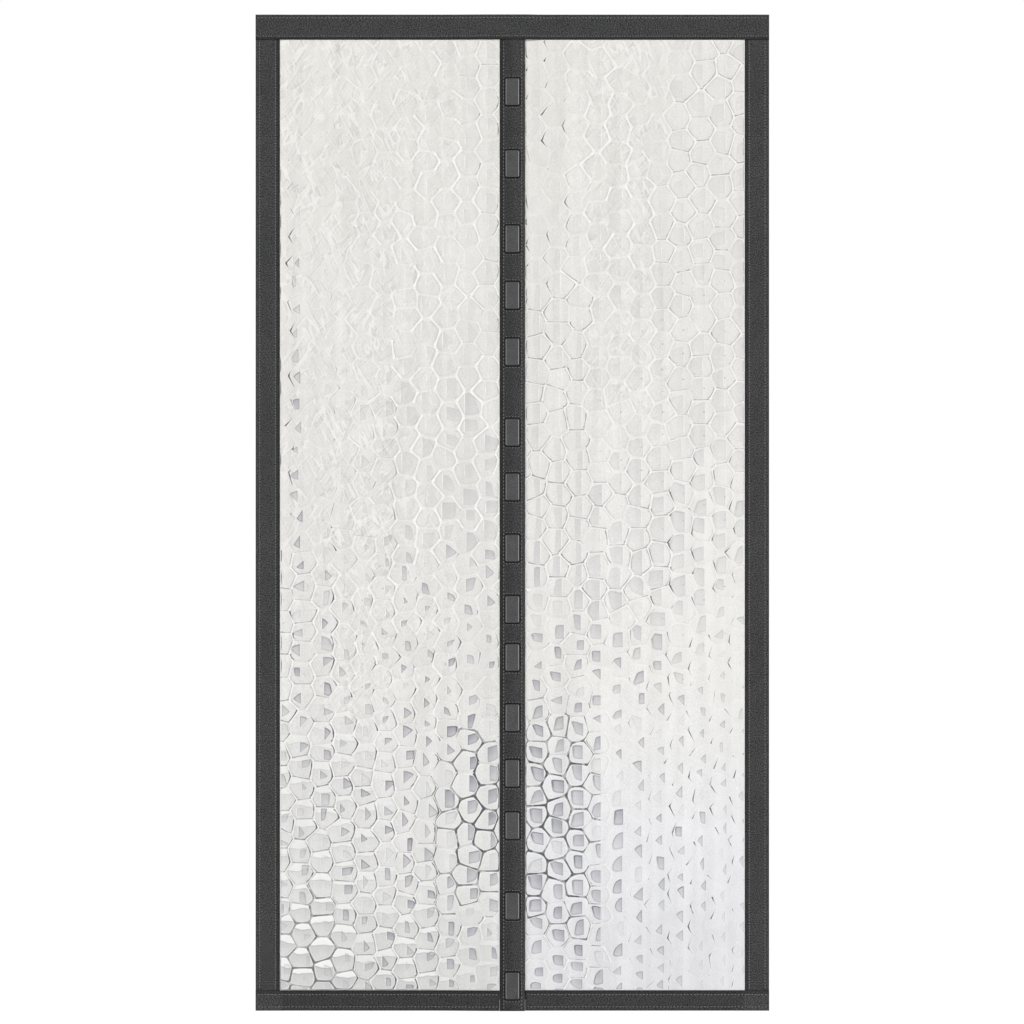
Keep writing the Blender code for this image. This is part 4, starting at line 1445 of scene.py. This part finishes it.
def photoCamera():
    camera = bpy.data.cameras.new("photoCamera")
    camera.lens = view["lens"]
    camera.sensor_width = view["sensor"]
    camera.clip_end = 100.0
    holder = placed("photoCamera", camera)
    distance = view["imageSize"] * view["metresPerPixel"] * view["lens"] / view["sensor"]
    half = view["imageSize"] / 2
    x = -(view["curtainAt"][0] - half) * view["metresPerPixel"]
    z = (curtainTop + curtainFoot) / 2 + (view["curtainAt"][1] - half) * view["metresPerPixel"]
    holder.location = (x, -tapeFront - distance, z)
    holder.rotation_euler = (math.pi / 2, 0.0, 0.0)
    bpy.context.scene.camera = holder


def sunLight(name, strength, softness, towards):
    # a distant lamp, so that the whole height of the curtain is lit evenly
    data = bpy.data.lights.new(name, "SUN")
    data.energy = strength
    data.angle = softness
    holder = placed(name, data)
    holder.location = Vector(towards) * view["sunReach"]
    holder.rotation_euler = Vector(towards).to_track_quat("Z", "Y").to_euler()


def seenRays(t):
    # 1 for rays that look at a thing straight, in a mirror or through glass
    rays = t.add("ShaderNodeLightPath").outputs
    return t.most(rays["Is Camera Ray"], rays["Is Glossy Ray"], rays["Is Transmission Ray"])


def whiteWorld():
    level = view["worldLevel"]
    world = bpy.data.worlds.new("paleStudio")
    bpy.context.scene.world = world
    world.use_nodes = True
    t = Tree(world.node_tree)
    ground = world.node_tree.nodes["Background"]
    t.put(t.blend(seenRays(t), 1.0 - level, level), ground.inputs["Strength"])
    ground.inputs["Color"].default_value = (1.0, 1.0, 1.0, 1.0)


def paleFloor():
    under = (0.0, 0.0, curtainFoot - view["floorDrop"])
    bpy.ops.mesh.primitive_plane_add(size=view["floorSize"], location=under)
    floor = bpy.context.active_object
    floor.name = "floor"
    material, t, shader = newMaterial("floorPaint", Base_Color=(0.80, 0.80, 0.80, 1.0), Roughness=0.9)
    nodes = material.node_tree.nodes
    glow = t.add("ShaderNodeEmission")
    glow.inputs["Strength"].default_value = view["floorGlow"]
    mixed = t.add("ShaderNodeMixShader")
    t.put(t.product(seenRays(t), view["glowShare"]), mixed.inputs[0])
    t.put(nodes["Principled BSDF"].outputs[0], mixed.inputs[1])
    t.put(glow.outputs[0], mixed.inputs[2])
    t.put(mixed.outputs[0], nodes["Material Output"].inputs["Surface"])
    floor.data.materials.append(material)


photoCamera()
whiteWorld()
for sunName, (strength, softness, towards) in suns.items():
    sunLight(sunName, strength, softness, towards)
paleFloor()
bpy.context.scene.view_settings.view_transform = "Standard"
print("camera and light done")
